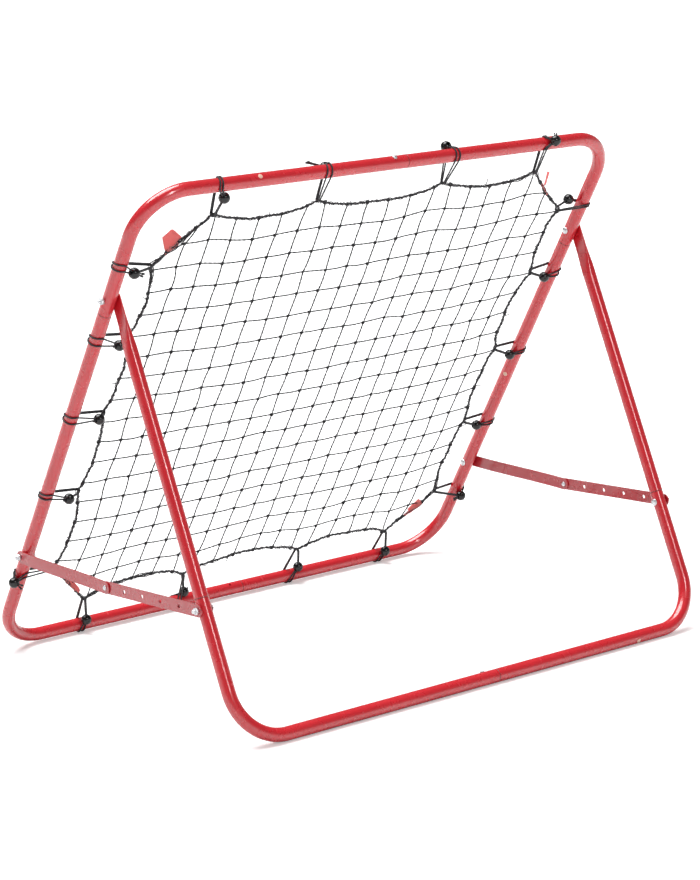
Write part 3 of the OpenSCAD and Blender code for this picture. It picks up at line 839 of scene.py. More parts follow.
def add_whipping():
    """Two fine strings wound unevenly round the rope, in opposite directions."""
    count = int(ROPE_LENGTH / 0.85)
    stops = np.linspace(0, ROPE_LENGTH, count, endpoint=False)

    def along_rope(values):
        looped = np.vstack([values, values[:1]])
        marks = np.append(rope_along, ROPE_LENGTH)
        return np.stack([np.interp(stops, marks, looped[:, k]) for k in range(3)], 1)

    line, normal, binormal = map(along_rope, (ROPE_LINE, ROPE_NORMAL, ROPE_BINORMAL))
    swell = loop_noise(count, rounds=9)
    drift = loop_noise(count, rounds=16)
    distance = 2.05 + 1.5 * np.abs(swell)

    def wind(pitch, way, wander, distance, radius):
        turns = round(ROPE_LENGTH / pitch)
        angle = (way * 2 * np.pi * (stops / ROPE_LENGTH * turns) + wander)[:, None]
        path = line + distance[:, None] * (np.cos(angle) * normal + np.sin(angle) * binormal)
        sweep(rope, path, radius, 5, closed=True)

    wind(pitch=9.5, way=1, wander=6.0 * drift, distance=distance, radius=0.56)
    wind(pitch=23.0, way=-1, wander=2.0 * np.roll(drift, 99), distance=distance * 0.98,
         radius=0.52)


def add_hitches():
    """Each net string is tied off round the rope."""
    inner = [hit for hits in (top_hits, bottom_hits, left_hits, right_hits)
             for hit in hits[1:-1]]
    for point in inner + [border_point(k, t) for k in CORNERS for t in (0.27, 0.73)]:
        knot(rope, frame_point(*point), 1.25 + rng.normal(0, 0.08), rng.uniform(-0.6, 0.6))


# (across, up the slope), then the tail's direction in the same two, then its length
STRING_TAILS = (
    (-223, 866, -0.1, 1, 14), (402, 560, 1, 0.1, 11), (396, 252, -0.35, 1, 17),
    (-404, 398, -1, -0.1, 10), (-402, 238, -1, -0.2, 9), (-401, 350, -1, -0.25, 12),
    (-404, 560, -1, 0.1, 6), (-412, 300, -1, 0.3, 9), (30, 86, 0.2, -1, 8),
    (215, 868, 0.3, 1, 6), (60, 866, -0.4, 1, 7), (400, 730, 1, 0.5, 7))


def add_string_tails():
    root = 4            # length buried in the rope
    for x, up, dx, d_up, length in STRING_TAILS:
        direction = unit(np.array([dx, d_up, 0.0]))
        bend = rng.normal(0, 0.25, 3)
        t = np.linspace(0, 1, 10)[:, None]
        path = (np.array([x, up, 0.5]) - direction * root + direction * (length + root) * t
                + bend * (length * 0.4) * t ** 2)
        sweep(rope, frame_point(*path.T), 0.8 * (1 - 0.25 * t[:, 0]), 6)


def add_fibres(count=900, corner_share=0.35, radius=0.2):
    """Stray fibres, thickest at the corners and most of all at the top right."""
    corner_choices = [TOP_RIGHT, TOP_RIGHT, TOP_RIGHT, TOP_LEFT, BOTTOM_LEFT, BOTTOM_RIGHT]
    t = np.linspace(0, 1, 6)[:, None]
    for _ in range(count):
        k = int(rng.integers(0, ROPE_COUNT))
        if rng.random() < corner_share:
            corner = int(rng.choice(corner_choices))
            k = int((corner + rng.uniform(0.1, 0.95)) / SPANS * ROPE_COUNT) % ROPE_COUNT
        angle = rng.uniform(0, 2 * np.pi)
        away = math.cos(angle) * ROPE_NORMAL[k] + math.sin(angle) * ROPE_BINORMAL[k]
        length = rng.uniform(2.0, 4.6)
        lean = ROPE_TANGENT[k] * rng.normal(0, 2.4)
        path = (ROPE_LINE[k] + away * 2.0 + (away * length * 0.8 + lean) * t
                + rng.normal(0, 1.4, 3) * t ** 2)
        sweep(rope, path, radius, 3)


def add_gathered_strings(distance=2.4, turns=2.3, limit=2.5):
    """Extra strings wound loosely along the corner spans."""

    def wander(count):
        walk = np.cumsum(rng.normal(0, 0.5, count))
        return np.clip(walk - np.linspace(walk[0], walk[-1], count), -limit, limit)

    for corner in CORNERS:
        for k in range(3 if corner == TOP_RIGHT else 2):
            places = np.arange(int((corner + 0.03) / SPANS * ROPE_COUNT),
                               int((corner + 0.97) / SPANS * ROPE_COUNT))
            count = len(places)
            places = places % ROPE_COUNT
            sideways, outward = wander(count), wander(count)
            fade = np.sin(np.linspace(0, np.pi, count)) ** 0.5
            angle = np.linspace(0, 2 * np.pi * turns, count) + k * 2.1
            path = (ROPE_LINE[places]
                    + ((distance * np.cos(angle) + sideways) * fade)[:, None]
                    * ROPE_NORMAL[places]
                    + ((distance * np.sin(angle) + outward) * fade)[:, None]
                    * ROPE_BINORMAL[places])
            sweep(rope, smooth_path(path, 4), 0.85, 6)


add_plies()
add_whipping()
add_hitches()
add_string_tails()
add_fibres()
add_gathered_strings()
rope.build("border_rope", ROPE, "main_frame", "twine_black", "net_border_cord")

# ---------------------------------------------------------------- corner tags
# corner span, where the tag starts and ends along it, the height of its ripple, and its rows
# from the rope to the tip. A row is its left end and its right end as the camera sees them,
# each (right, up) in mm per metre ahead of the camera, then how many mm nearer the camera
# than the rope each end lies.
TAGS = (
    (TOP_RIGHT, 0.27, 0.46, 1.0, (
        (-66.983, 67.963, -60.927, 73.185, -1, -1), (-67.382, 69.268, -61.145, 73.693, 0, 0),
        (-68.180, 73.475, -61.435, 74.128, 2, 2), (-66.439, 74.926, -62.885, 75.288, 3, 2),
        (-64.844, 76.376, -64.191, 76.413, 3, 3))),
    (TOP_LEFT, 0.30, 0.56, 0.6, (
        (70.211, 91.971, 71.081, 92.769, -3, 3), (70.864, 94.292, 71.444, 94.219, -8, 8),
        (71.299, 96.178, 72.024, 96.032, -8, 8), (71.589, 97.411, 72.387, 97.120, -6, 5))),
    (BOTTOM_LEFT, 0.30, 0.62, 0.8, (
        (21.615, -26.692, 26.039, -23.210, 3, 3), (20.744, -25.024, 25.821, -22.122, 4, 4),
        (22.485, -23.428, 24.879, -21.179, 3, 3))),
    (BOTTOM_RIGHT, 0.28, 0.62, 0.8, (
        (-102.705, -51.063, -98.426, -55.560, 3, 3), (-101.980, -50.265, -97.918, -54.617, 3, 3),
        (-100.965, -50.627, -98.208, -53.529, 2, 2))),
)


def tag_flap(surface, rows, depth, ripple):
    """The free half of a tag: a rippled sheet with a front, a back and an edge."""
    thickness, columns, steps, cloth_size = 0.7, 11, 5, 24
    rows = np.array(rows, float)
    fine = len(rows) * steps
    grid, uv = [], []
    for r in range((len(rows) - 1) * steps + 1):
        k = min(r // steps, len(rows) - 2)
        t = (r - k * steps) / steps
        left_x, left_y, right_x, right_y, left_near, right_near = \
            rows[k] * (1 - t) + rows[k + 1] * t
        for c in range(columns):
            w = c / (columns - 1)
            wave = ripple * math.sin(1.3 + 5.2 * w + 1.1 * r / steps) * (0.3 + r / fine)
            near = left_near + (right_near - left_near) * w
            grid.append(view_point(left_x + (right_x - left_x) * w,
                                   left_y + (right_y - left_y) * w, depth - near + wave))
            uv.append((w * cloth_size, r * cloth_size / fine))
    grid = np.array(grid).reshape(-1, columns, 3)
    count = len(grid)
    normal = np.cross(np.gradient(grid, axis=1), np.gradient(grid, axis=0))
    normal /= np.maximum(np.linalg.norm(normal, axis=2, keepdims=True), 1e-9)
    front = surface.verts((grid + normal * thickness / 2).reshape(-1, 3))
    back = surface.verts((grid - normal * thickness / 2).reshape(-1, 3))
    faces, face_uvs = [], []

    def add_face(starts, places):
        faces.append([start + place for start, place in zip(starts, places)])
        face_uvs.append([uv[place] for place in places])

    for r in range(count - 1):
        for c in range(columns - 1):
            a = r * columns + c
            d = a + columns
            add_face([front] * 4, (a, a + 1, d + 1, d))
            add_face([back] * 4, (a, d, d + 1, a + 1))
    edge = ([(0, c) for c in range(columns)]
            + [(r, columns - 1) for r in range(1, count)]
            + [(count - 1, c) for c in range(columns - 2, -1, -1)]
            + [(r, 0) for r in range(count - 2, 0, -1)])
    edge = [r * columns + c for r, c in edge]
    for a, b in zip(edge, edge[1:] + edge[:1]):
        add_face((front, back, back, front), (a, a, b, b))
    surface.quads(faces, np.array(face_uvs))


tags = Surface()
for corner, start, end, ripple, rows in TAGS:
    rope_point = frame_point(*border_point(corner, (start + end) / 2))
    tag_flap(tags, rows, view_depth(rope_point), ripple)
    # the tag's other half is sewn round the rope
    places = np.arange(int((corner + start) * SPAN_STEPS), int((corner + end) * SPAN_STEPS) + 1)
    sleeve = resample(BORDER[places % len(BORDER)], 1.5)
    sweep(tags, frame_point(*sleeve.T), 2.35, 12,
          shape=lambda a, l: 1 + 0.05 * np.sin(3 * a + 0.4 * l))
tags.build("corner_tags_cloth", TAG, "main_frame", "tag_red", "net_corner_tags")

# ---------------------------------------------------------------- bungees and balls
CORD = 1.3                                  # cord radius
CORD_ROUND_TUBE = TUBE + CORD + 0.12        # from the tube's axis to the cord's
CORD_ROUND_ROPE = 2.6 + CORD
BALL_RADIUS = 9.0
# cords whose ends hang out past the ball, with how far; the rest barely show
LONG_TAILS = {"top_2": 30.0, "right_1": 8.0, "left_5": 8.0, "right_5": 6.0}
SHORT_TAIL = 3.5
TOP_2_TAIL = ACROSS * 0.95 + UP * 0.35 + OUT * 0.1      # this pair leaves its cord's line


def to_tube(tube, x, up):
    """A place on the frame as (along the tube, inwards from its axis)."""
    return {"top": (x, LENGTH - up), "bottom": (x, up),
            "right": (up, HALF - x), "left": (up, HALF + x)}[tube]


def from_tube(tube, along, inward, out):
    if tube == "top":
        return frame_point(along, LENGTH - inward, out)
    if tube == "bottom":
        return frame_point(along, inward, out)
    if tube == "right":
        return frame_point(HALF - inward, along, out)
    return frame_point(-HALF + inward, along, out)


def convex_hull(points):
    """Convex hull of 2-D points, anticlockwise."""
    points = sorted(map(tuple, points))

    def half(run):
        hull = []
        for p in run:
            while len(hull) > 1 and ((hull[-1][0] - hull[-2][0]) * (p[1] - hull[-2][1])
                                     - (hull[-1][1] - hull[-2][1]) * (p[0] - hull[-2][0])) <= 0:
                hull.pop()
            hull.append(p)
        return hull[:-1]

    return np.array(half(points) + half(points[::-1]))


def nearest(points, target):
    return int(np.argmin(np.linalg.norm(points - target, axis=1)))


def cord_outline(tie, ball):
    """The cord's loop round tube, rope and ball as (inwards, out) pairs, from the rope."""
    angle = np.linspace(0, 2 * np.pi, 72, endpoint=False)
    coarse = angle[::3]
    round_rope = np.stack([tie[0] + 1.0 + CORD_ROUND_ROPE * np.cos(coarse),
                           tie[1] + CORD_ROUND_ROPE * np.sin(coarse)], 1)
    round_tube = np.stack([CORD_ROUND_TUBE * np.cos(angle), CORD_ROUND_TUBE * np.sin(angle)], 1)
    outline = convex_hull(np.vstack([round_tube, round_rope, [ball]]))[::-1]
    outline = np.roll(outline, -int(np.argmax(outline[:, 0])), 0)
    if np.linalg.norm(outline - ball, axis=1).min() > 0.01:     # the ball pulls the cord inwards
        edge = np.roll(outline, -1, 0) - outline
        t = np.clip(((ball - outline) * edge).sum(1) / (edge ** 2).sum(1), 0, 1)
        k = nearest(outline + edge * t[:, None], ball)
        outline = np.vstack([outline[:k + 1], ball, outline[k + 1:]])
    return outline


def ball_profile():
    """(radius, height) pairs: the hole, the bottom lip, the outside, then the top lip."""
    hole, lip = 2.7, 0.8
    parting_height, parting_half_angle = 0.12, 0.04
    inner = math.sqrt((BALL_RADIUS - lip) ** 2 - (hole + lip) ** 2)

    def lip_point(t, way):
        angle = math.pi + way * t * (math.pi / 2 + 0.45)
        return (hole + lip + lip * math.cos(angle), -way * inner + lip * math.sin(angle))

    profile = [(hole, z) for z in np.linspace(inner - 0.4, -inner + 0.4, 6)]
    profile += [lip_point(t, 1) for t in np.linspace(0, 1, 5)[1:]]
    start = math.asin((hole + 1.55 * lip) / BALL_RADIUS)
    for t in np.linspace(start, math.pi - start, 25):
        on_parting = abs(t - math.pi / 2) < parting_half_angle
        r = BALL_RADIUS + (parting_height if on_parting else 0.0)
        profile.append((r * math.sin(t), -r * math.cos(t)))
    profile += [lip_point(t, -1) for t in np.linspace(0, 1, 5)[:-1][::-1]]
    return profile + [(hole, inner - 0.4)]


def add_ball(surface, centre, axis, seed):
    """A moulded ball: a drilled hole with rounded lips, a parting line, four shallow pockets."""
    pocket_depth, pocket_angle = 1.1, 0.26
    axis = unit(axis)
    first = unit(np.cross(axis, np.random.default_rng(seed).normal(0, 1, 3)))
    second = np.cross(axis, first)
    # (angle round the hole, height) of each pocket
    pockets = [unit(first * math.cos(a) + second * math.sin(a) + axis * z)
               for a, z in ((0.5, 0.35), (2.1, -0.35), (3.7, 0.35), (5.2, -0.35))]

    def bump(direction, distance):
        dent = np.zeros(direction.shape[:2] + (1,))
        for pocket in pockets:
            angle = np.arccos(np.clip(direction @ pocket, -1, 1))
            dent[..., 0] -= pocket_depth * np.clip(1 - (angle / pocket_angle) ** 4, 0, 1)
        return dent * (distance > BALL_RADIUS - 1.2)

    revolve(surface, ball_profile(), centre, axis, 36, bump=bump, first=first, cap=False)


CRIMP_PROFILE = [(0.1, -2.6), (1.7, -2.4), (1.9, -1.2), (1.6, 0.0), (1.95, 1.2), (1.7, 2.3),
                 (0.1, 2.5)]


def add_tails(surface, name, centre, axis, outward):
    """The cord's two ends come out of the ball; long ones are crimped."""
    long = name in LONG_TAILS
    length = LONG_TAILS.get(name, SHORT_TAIL)
    side = np.cross(axis, outward)
    leave = axis * (1 if long else -1)
    head = TOP_2_TAIL if name == "top_2" else leave
    t = np.linspace(0, 1, 14)[:, None]
    for k in (-1, 1):
        sway = rng.normal(0, 0.12, 3)
        path = (centre + side * k * 1.2 + leave * 2.0 * (1 - t)
                + head * (BALL_RADIUS + length) * t + side * k * (length * 0.18) * t ** 2
                + outward * (length * 0.12) * t ** 2 + sway * length * t ** 2)
        sweep(surface, path, CORD * 0.92, 8)
        if long:
            revolve(surface, CRIMP_PROFILE, path[-1], unit(path[-1] - path[-3]), 12)


def strand_marks(bungee, tie_along, ball_along, outline, run, k):
    """(length round the loop, place along the tube) of strand k, -1 or 1."""
    ball = nearest(outline, np.array([*bungee_ball_section]))
    far = nearest(outline, np.array([0, -CORD_ROUND_TUBE]))
    near = nearest(outline, np.array([0, CORD_ROUND_TUBE]))
    outer = nearest(outline, np.array([-CORD_ROUND_TUBE, 0]))
    tie_place = tie_along + k * 1.32
    far_mark = (run[far], bungee.far + k * 1.6)
    marks = [(0.0, tie_place), far_mark,
             (run[outer], 0.35 * bungee.far + 0.65 * bungee.near + k * bungee.spread * 0.42),
             (run[near], bungee.near + k * bungee.spread / 2),
             (run[ball], ball_along + k * 1.05), (run[-1], tie_place)]
    if bungee.ball[2] < -5 and abs(run[ball] - run[far]) < 1:   # the ball sits at the far mark
        marks = [mark for mark in marks if mark[0] != far_mark[0]]
    marks.sort()
    kept = [marks[0]]
    for mark in marks[1:]:
        if mark[0] - kept[-1][0] > 0.5:
            kept.append(mark)
    return np.array(kept).T


cords, balls = Surface(), Surface()
for number, (name, bungee) in enumerate(BUNGEES.items()):
    tube = name.split("_")[0]
    ball_along, ball_in = to_tube(tube, *bungee.ball[:2])
    tie_along, tie_in = to_tube(tube, *bungee.tie[:2])
    ball_out = bungee.ball[2]
    bungee_ball_section = np.array([ball_in, ball_out])
    outline = cord_outline((tie_in, bungee.tie[2]), bungee_ball_section)
    loop = np.vstack([outline, outline[:1]])
    run = lengths(loop)
    count = max(60, int(run[-1] / 1.1))
    stops = np.linspace(0, run[-1], count, endpoint=False)
    for k in (-1, 1):
        marks = strand_marks(bungee, tie_along, ball_along, outline, run, k)
        along = smooth_path(np.interp(stops, *marks), 10, closed=True)
        path = from_tube(tube, along, np.interp(stops, run, loop[:, 0]),
                         np.interp(stops, run, loop[:, 1]))
        path = smooth_path(path + rng.normal(0, 0.04, path.shape), 1, closed=True)
        sweep(cords, path, CORD, 10, closed=True,
              shape=lambda a, l: (1 + 0.05 * np.cos(4 * a + l * 2.1)
                                  + 0.05 * np.cos(4 * a - l * 2.1)))
    # the hole of the ball follows the second strand
    at_ball = int(np.argmin(np.abs(stops - run[nearest(outline, bungee_ball_section)])))
    axis = unit(path[(at_ball + 5) % count] - path[(at_ball - 5) % count])
    centre = from_tube(tube, ball_along, ball_in, ball_out)
    add_ball(balls, centre, axis, seed=100 + number)
    add_tails(cords, name, centre, axis, unit(centre - from_tube(tube, ball_along, 0, 0)))

cords.build("bungee_cord_loops", ELASTIC, "main_frame", "cord_black", "bungee_cords")
balls.build("bungee_balls_moulded", BALL, "main_frame", "ball_black", "bungee_balls")

# ---------------------------------------------------------------- fasteners
BOLT_RADIUS = 2.98
NUT_ACROSS_FLATS, NUT_BORE = 10.0, 3.06
THREAD_STEP = 0.16


def solids(node):
    """The (low, high) corners of a node's solids, right one first, in millimetres."""
    piece = NODES[node]
    points = np.empty(len(piece.data.vertices) * 3, np.float32)
    piece.data.vertices.foreach_get("co", points)
    world = piece.matrix_world
    points = (points.reshape(-1, 3).astype(float) @ np.array(world.to_3x3()).T
              + np.array(world.translation)) * 1000
    sides = (points[:, 0] > CENTRE_X, points[:, 0] <= CENTRE_X)
    return [(points[side].min(0), points[side].max(0)) for side in sides if side.any()]


def hex_nut(surface, base, axis, height, turn):
    """A chamfered hexagon nut standing on base along axis."""
    first = unit(np.cross(axis, (0.1, 0.3, 1.0)))
    second = np.cross(axis, first)
    sides = 72
    angle = 2 * np.pi * np.arange(sides) / sides + turn
    flat = NUT_ACROSS_FLATS / 2
    radius = flat / np.cos((angle - turn + math.pi / 6) % (math.pi / 3) - math.pi / 6)
    radius = np.minimum(radius, flat * 1.135)
    face = flat * 0.96
    chamfer = np.maximum(radius - face, 0) * 0.55

    def ring(r, z):
        r, z = np.broadcast_to(r, (sides,)), np.broadcast_to(z, (sides,))
        return (base + (r * np.cos(angle))[:, None] * first
                + (r * np.sin(angle))[:, None] * second + z[:, None] * axis)

    rings = np.stack([ring(r, z) for r, z in (
        (NUT_BORE, 0.5), (NUT_BORE + 0.35, 0.0), (face, 0.0), (radius, chamfer + 0.02),
        (radius, height - chamfer - 0.02), (face, height), (NUT_BORE + 0.35, height),
        (NUT_BORE, height - 0.5))])[::-1]
    start = skin(surface, rings, np.arange(len(rings), dtype=float), cap=False)
    # the wall of the bore joins the last ring to the first
    j = np.arange(sides)
    last = start + (len(rings) - 1) * sides
    surface.quads(np.stack([start + j, last + j, last + (j + 1) % sides,
                            start + (j + 1) % sides], 1))


def shank(surface, base, axis, stations, radius, tip, thread):
    """A rod with a thread between two lengths; tip is the radius at its last two stations."""
    radii = np.full(len(stations), radius)
    radii[-2:] = tip
    depth, pitch = 0.055, 1.0
    sweep(surface, base + stations[:, None] * axis, radii, 24,
          shape=lambda a, l: 1 - np.where((l > thread[0]) & (l < thread[1]),
                                          depth * (1 + np.cos(2 * np.pi * l / pitch - a)), 0.0))


def domed_bolt(surface, face, axis, head_radius, head_height, radius, length, thread=None):
    """A domed head with its underside at face and its shank running along axis.

    The last part of the shank, thread long, is threaded; without it the whole shank is.
    """
    profile = [(0.05, -head_height)]
    profile += [(head_radius * math.sin(t) * 0.97,
                 -head_height + (head_height - 0.7) * (1 - math.cos(t)))
                for t in np.linspace(0.12, math.pi / 2, 12)]
    profile += [(head_radius, -0.45), (head_radius * 0.985, -0.05), (head_radius * 0.97, 0.0),
                (radius, 0.0)]
    revolve(surface, profile, face, axis, 40, cap=False)
    start = length - (thread or length)
    stations = np.concatenate([[0.0, start], np.arange(start + 0.15, length - 0.5, THREAD_STEP),
                               [length - 0.45, length - 0.1, length]])
    shank(surface, face, axis, stations, radius, tip=(radius * 0.8, radius * 0.7),
          thread=(start + 0.05, length - 0.4))


HEAD_RADIUS, HEAD_HEIGHT = 6.0, 3.4
for body, part in (("main_frame", "pivot"), ("main_frame", "frame_stay"),
                   ("stand", "stand_stay")):
    bolt_node, nut_node = part + "_bolts", part + "_nuts"
    bolts, nuts = Surface(), Surface()
    for (bolt_low, bolt_high), (nut_low, nut_high) in zip(solids(bolt_node), solids(nut_node)):
        _, y, z = (bolt_low + bolt_high) / 2
        nut_on_right = (nut_low[0] + nut_high[0]) > (bolt_low[0] + bolt_high[0])
        axis = np.array([1.0 if nut_on_right else -1.0, 0, 0])
        face_x = bolt_low[0] + HEAD_HEIGHT if nut_on_right else bolt_high[0] - HEAD_HEIGHT
        domed_bolt(bolts, np.array([face_x, y, z]), axis, HEAD_RADIUS, HEAD_HEIGHT, BOLT_RADIUS,
                   length=bolt_high[0] - bolt_low[0] - HEAD_HEIGHT, thread=14)
        base = np.array([nut_low[0] if nut_on_right else nut_high[0], y, z])
        hex_nut(nuts, base, axis, nut_high[0] - nut_low[0], turn=rng.uniform(0, 1))
    bolts.build(bolt_node + "_threaded", ZINC, body, "zinc", bolt_node)
    nuts.build(nut_node + "_chamfered", ZINC, body, "zinc", nut_node)

# the lap bolts: a head and a short shank in the front bar, and the threaded end in the nut
LAP_HEAD_RADIUS, LAP_HEAD_HEIGHT = 4.2, 2.4
LAP_END_STATIONS = np.concatenate([[0.0, 0.05], np.arange(0.2, 6.0, THREAD_STEP),
                                   [6.05, 6.4, 6.5]])
for side in ("right", "left"):
    bolt_node, nut_node = side + "_lap_bolt", side + "_lap_nut"
    bolt_low, bolt_high = (np.array(corner) * 1000 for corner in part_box(bolt_node))
    nut_low, nut_high = (np.array(corner) * 1000 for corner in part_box(nut_node))
    _, y, z = (bolt_low + bolt_high) / 2
    axis = np.array([-1.0, 0, 0])
    base = np.array([nut_high[0], y, z])
    bolt, nut = Surface(), Surface()
    domed_bolt(bolt, np.array([bolt_high[0] - LAP_HEAD_HEIGHT, y, z]), axis,
               LAP_HEAD_RADIUS, LAP_HEAD_HEIGHT, BOLT_RADIUS, length=2.15)
    shank(bolt, base, axis, LAP_END_STATIONS, BOLT_RADIUS, tip=(2.4, 2.1), thread=(-1.0, 6.0))
    bolt.build(bolt_node + "_threaded", ZINC, side + "_front_stay", "zinc", bolt_node)
    hex_nut(nut, base, axis, nut_high[0] - nut_low[0], turn=rng.uniform(0, 1))
    nut.build(nut_node + "_chamfered", ZINC, side + "_front_stay", "zinc", nut_node)

# the screws through the tube joints
SCREW_SEAT = TUBE + 0.1         # from the tube's axis to the underside of the head


def tube_screw(surface, face, axis):
    domed_bolt(surface, face, axis, head_radius=4.0, head_height=2.2, radius=1.98, length=9.0)


FOOT = PIVOT - LEG_LENGTH * LEG_UP      # middle of the base tube
FOOT[0] = STAND_X * 1000
screws = Surface()
tube_screw(screws, frame_point(0.0, LENGTH + SCREW_SEAT), -UP)
tube_screw(screws, frame_point(0.0, -SCREW_SEAT), UP)
screws.build("frame_joint_screws_domed", ZINC, "main_frame", "zinc", "frame_joint_screws")
screws = Surface()
tube_screw(screws, FOOT + SCREW_SEAT * LEG_UP, -LEG_UP)
screws.build("base_joint_screw_domed", ZINC, "stand", "zinc", "base_joint_screw")

# ---------------------------------------------------------------- stand legs
EAR_HALF_THICKNESS, EAR_RADIUS = 1.5, 13.0      # the flattened top round the pivot
PIVOT_HOLE = 3.25


def leg_sections():
    """(length up the leg, half thickness, half width, superellipse power) of each section."""
    rows = [(223.4, 9.4, 9.4, 2.0), (226.35, 9.4, 9.4, 2.0), (226.4, 10.6, 10.6, 2.0),
            (226.8, 10.98, 10.98, 2.0)]
    rows += [(y, TUBE, TUBE, 2.0) for y in (227.6, 280, 340, 400, 460, 520, 570, 598)]
    # the round tube is crushed flat in one smooth run
    for y in np.linspace(600, 669, 26):
        t = (y - 600) / 69
        t = t * t * (3 - 2 * t)
        rows.append((y, TUBE + (EAR_HALF_THICKNESS - TUBE) * t, TUBE + (EAR_RADIUS - TUBE) * t,
                     2 + 3.5 * t))
    rows += [(y, EAR_HALF_THICKNESS, EAR_RADIUS, 5.5) for y in (674, 684, 694)]
    rows += [(LEG_LENGTH + EAR_RADIUS * math.sin(a), EAR_HALF_THICKNESS,
              EAR_RADIUS * math.cos(a), 5.5)
             for a in np.radians([0, 12, 24, 36, 48, 58, 67, 75, 81])]
    return rows + [(LEG_LENGTH + 12.95, 1.2, 1.2, 3.0)]


def drill_x(piece, centre, radius):
    """Cuts a round hole along X through a piece and keeps the hole's rims crisp."""
    bit = Surface()
    sweep(bit, centre + np.array([[-20.0], [20.0]]) * ACROSS, radius, 40)
    tool = bit.build("drill", RED_STAND, smooth=False)
    modifier = piece.modifiers.new("drill", "BOOLEAN")
    modifier.operation, modifier.solver, modifier.object = "DIFFERENCE", "EXACT", tool
    graph = bpy.context.evaluated_depsgraph_get()
    cut = bpy.data.meshes.new_from_object(piece.evaluated_get(graph),
                                          preserve_all_data_layers=True, depsgraph=graph)
    cut.name = piece.data.name + "_drilled"
    piece.modifiers.remove(modifier)
    piece.data = cut
    bpy.data.objects.remove(tool)
    points = np.array([vertex.co for vertex in cut.vertices]) * 1000
    distance = np.hypot(points[:, 1] - centre[1], points[:, 2] - centre[2])
    on_hole = np.abs(distance - radius) < 0.03
    for edge in cut.edges:
        i, j = edge.vertices
        if on_hole[i] and on_hole[j] and abs(points[i, 0] - points[j, 0]) < 0.5:
            edge.use_edge_sharp = True


def stand_leg(side, way):
    foot = FOOT + way * HALF * ACROSS
    angle = 2 * np.pi * np.arange(72) / 72
    cos, sin = np.cos(angle), np.sin(angle)
    rows = leg_sections()
    rings = []
    for y, half_thickness, half_width, power in rows:
        x = half_thickness * np.sign(cos) * np.abs(cos) ** (2 / power)
        z = half_width * np.sign(sin) * np.abs(sin) ** (2 / power)
        rings.append(foot + y * LEG_UP + x[:, None] * ACROSS
                     + z[:, None] * np.cross(LEG_UP, ACROSS))
    leg = Surface()
    skin(leg, np.stack(rings), np.array([row[0] for row in rows]))
    piece = leg.build(side + "_stand_leg_drawn", RED_STAND, "stand", "powder_red")
    drill_x(piece, foot + LEG_LENGTH * LEG_UP, PIVOT_HOLE)
    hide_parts(side + "_stand_leg")


stand_leg("right", 1)
stand_leg("left", -1)


# ---------------------------------------------------------------- floor
def floor_material():
    """White, but giving less light back to the tubes than it shows the camera."""
    m = Mat("floor_white")
    m.set(Roughness=0.85, Specular_IOR_Level=0.15, Emission_Color=(1, 1, 1, 1))
    glow = 0.33                     # extra light shown to the camera alone
    path = m.node("LightPath")
    shade = m.ramp(m.noise(scale=1.5, detail=2.0), span=(0.3, 0.7),
                   colors=((0.86, 0.86, 0.865, 1), (0.9, 0.9, 0.9, 1)))
    m.to("Base Color", m.mix(path.outputs["Is Diffuse Ray"], shade, (0.63, 0.63, 0.63, 1)))
    m.to("Emission Strength", m.math("MULTIPLY", path.outputs["Is Camera Ray"], glow))
    return m.material


FLOOR_RADIUS, FLOOR_Z, FLOOR_SIDES = 30, -0.0002, 64        # metres
mesh = bpy.data.meshes.new("floor")
mesh.from_pydata([(FLOOR_RADIUS * math.cos(a), FLOOR_RADIUS * math.sin(a), FLOOR_Z)
                  for a in np.linspace(0, 2 * np.pi, FLOOR_SIDES, endpoint=False)],
                 [], [list(range(FLOOR_SIDES))])
floor = bpy.data.objects.new("floor", mesh)
bpy.context.scene.collection.objects.link(floor)
mesh.materials.append(floor_material())


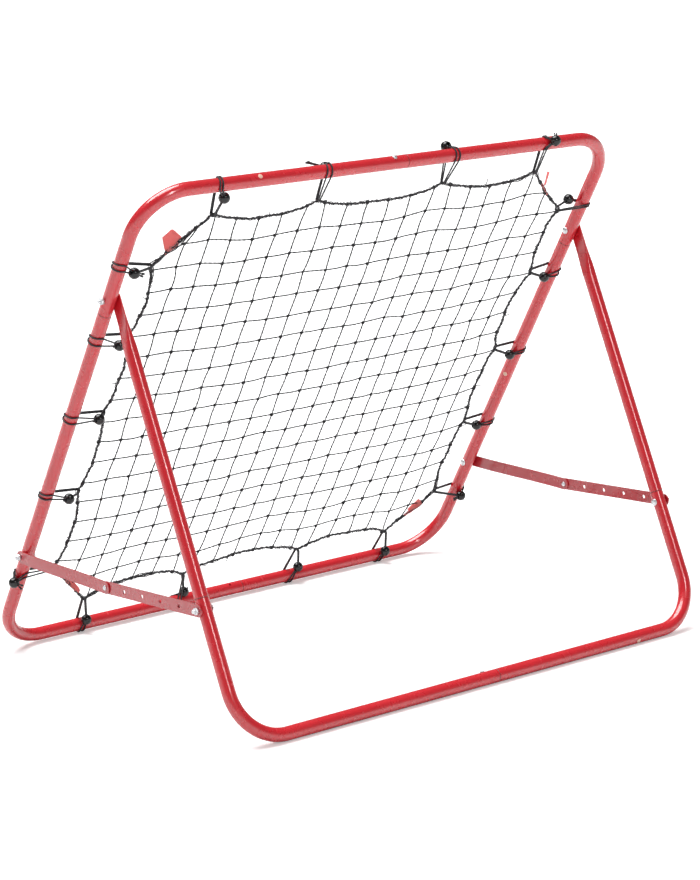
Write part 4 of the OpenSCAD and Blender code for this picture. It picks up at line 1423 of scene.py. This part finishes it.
# ---------------------------------------------------------------- world
def build_world():
    """Grey light that varies with height; the camera sees plain white."""
    world = bpy.data.worlds.new("studio")
    bpy.context.scene.world = world
    world.use_nodes = True
    nodes, link = world.node_tree.nodes, world.node_tree.links.new
    background = nodes["Background"]
    path = nodes.new("ShaderNodeLightPath")
    coords = nodes.new("ShaderNodeTexCoord")
    parts = nodes.new("ShaderNodeSeparateXYZ")
    ramp = nodes.new("ShaderNodeValToRGB")
    link(coords.outputs["Generated"], parts.inputs[0])
    link(parts.outputs["Z"], ramp.inputs["Fac"])
    elements = ramp.color_ramp.elements
    elements.new(0.3)
    elements.new(0.6)
    # (height, grey level)
    stops = ((0.0, 0.64), (0.18, 0.29), (0.36, 0.14), (1.0, 0.17))
    for element, (position, grey) in zip(elements, stops):
        element.position = position
        element.color = (grey, grey, grey, 1)
    mix = nodes.new("ShaderNodeMix")
    mix.data_type = "RGBA"
    link(path.outputs["Is Camera Ray"], mix.inputs[MIX_FACTOR])
    link(ramp.outputs["Color"], mix.inputs[MIX_A])
    mix.inputs[MIX_B].default_value = (1.05, 1.05, 1.05, 1)
    link(mix.outputs[MIX_RESULT], background.inputs["Color"])
    background.inputs["Strength"].default_value = 1.0


build_world()

# ---------------------------------------------------------------- lights
LIGHT_TARGET = Vector((0, 0, 0.4))


def light(kind, name, direction, distance, **settings):
    """A light this far from the target in a direction, aimed back at it."""
    data = bpy.data.lights.new(name, kind)
    for key, value in settings.items():
        setattr(data, key, value)
    lamp = bpy.data.objects.new(name, data)
    bpy.context.scene.collection.objects.link(lamp)
    lamp.location = LIGHT_TARGET + Vector(unit(np.array(direction))) * distance
    lamp.rotation_euler = (LIGHT_TARGET - lamp.location).to_track_quat("-Z", "Y").to_euler()


light("SUN", "top_back", direction=(0.12, -0.32, 0.95), distance=5,
      energy=4.2, angle=math.radians(50))
light("AREA", "softbox", direction=(0.116, 0.844, 0.523), distance=4.6,
      energy=45, shape="RECTANGLE", size=0.45, size_y=1.6)

# ---------------------------------------------------------------- camera and view
lens = bpy.data.cameras.new("camera")
camera = bpy.data.objects.new("camera", lens)
bpy.context.scene.collection.objects.link(camera)
camera.matrix_world = Matrix(
    [(VIEW_RIGHT[i], VIEW_UP[i], -VIEW_AHEAD[i], CAMERA_AT[i]) for i in range(3)]
    + [(0, 0, 0, 1)])
# the sensor width spans the picture's long side
lens.sensor_fit = "AUTO"
lens.sensor_width = 36.0
lens.lens = 112.802727
lens.clip_start, lens.clip_end = 0.05, 200
bpy.context.scene.camera = camera

view = bpy.context.scene.view_settings
view.view_transform = "Standard"
view.look = "None"
view.exposure = 0.0
view.gamma = 1.0
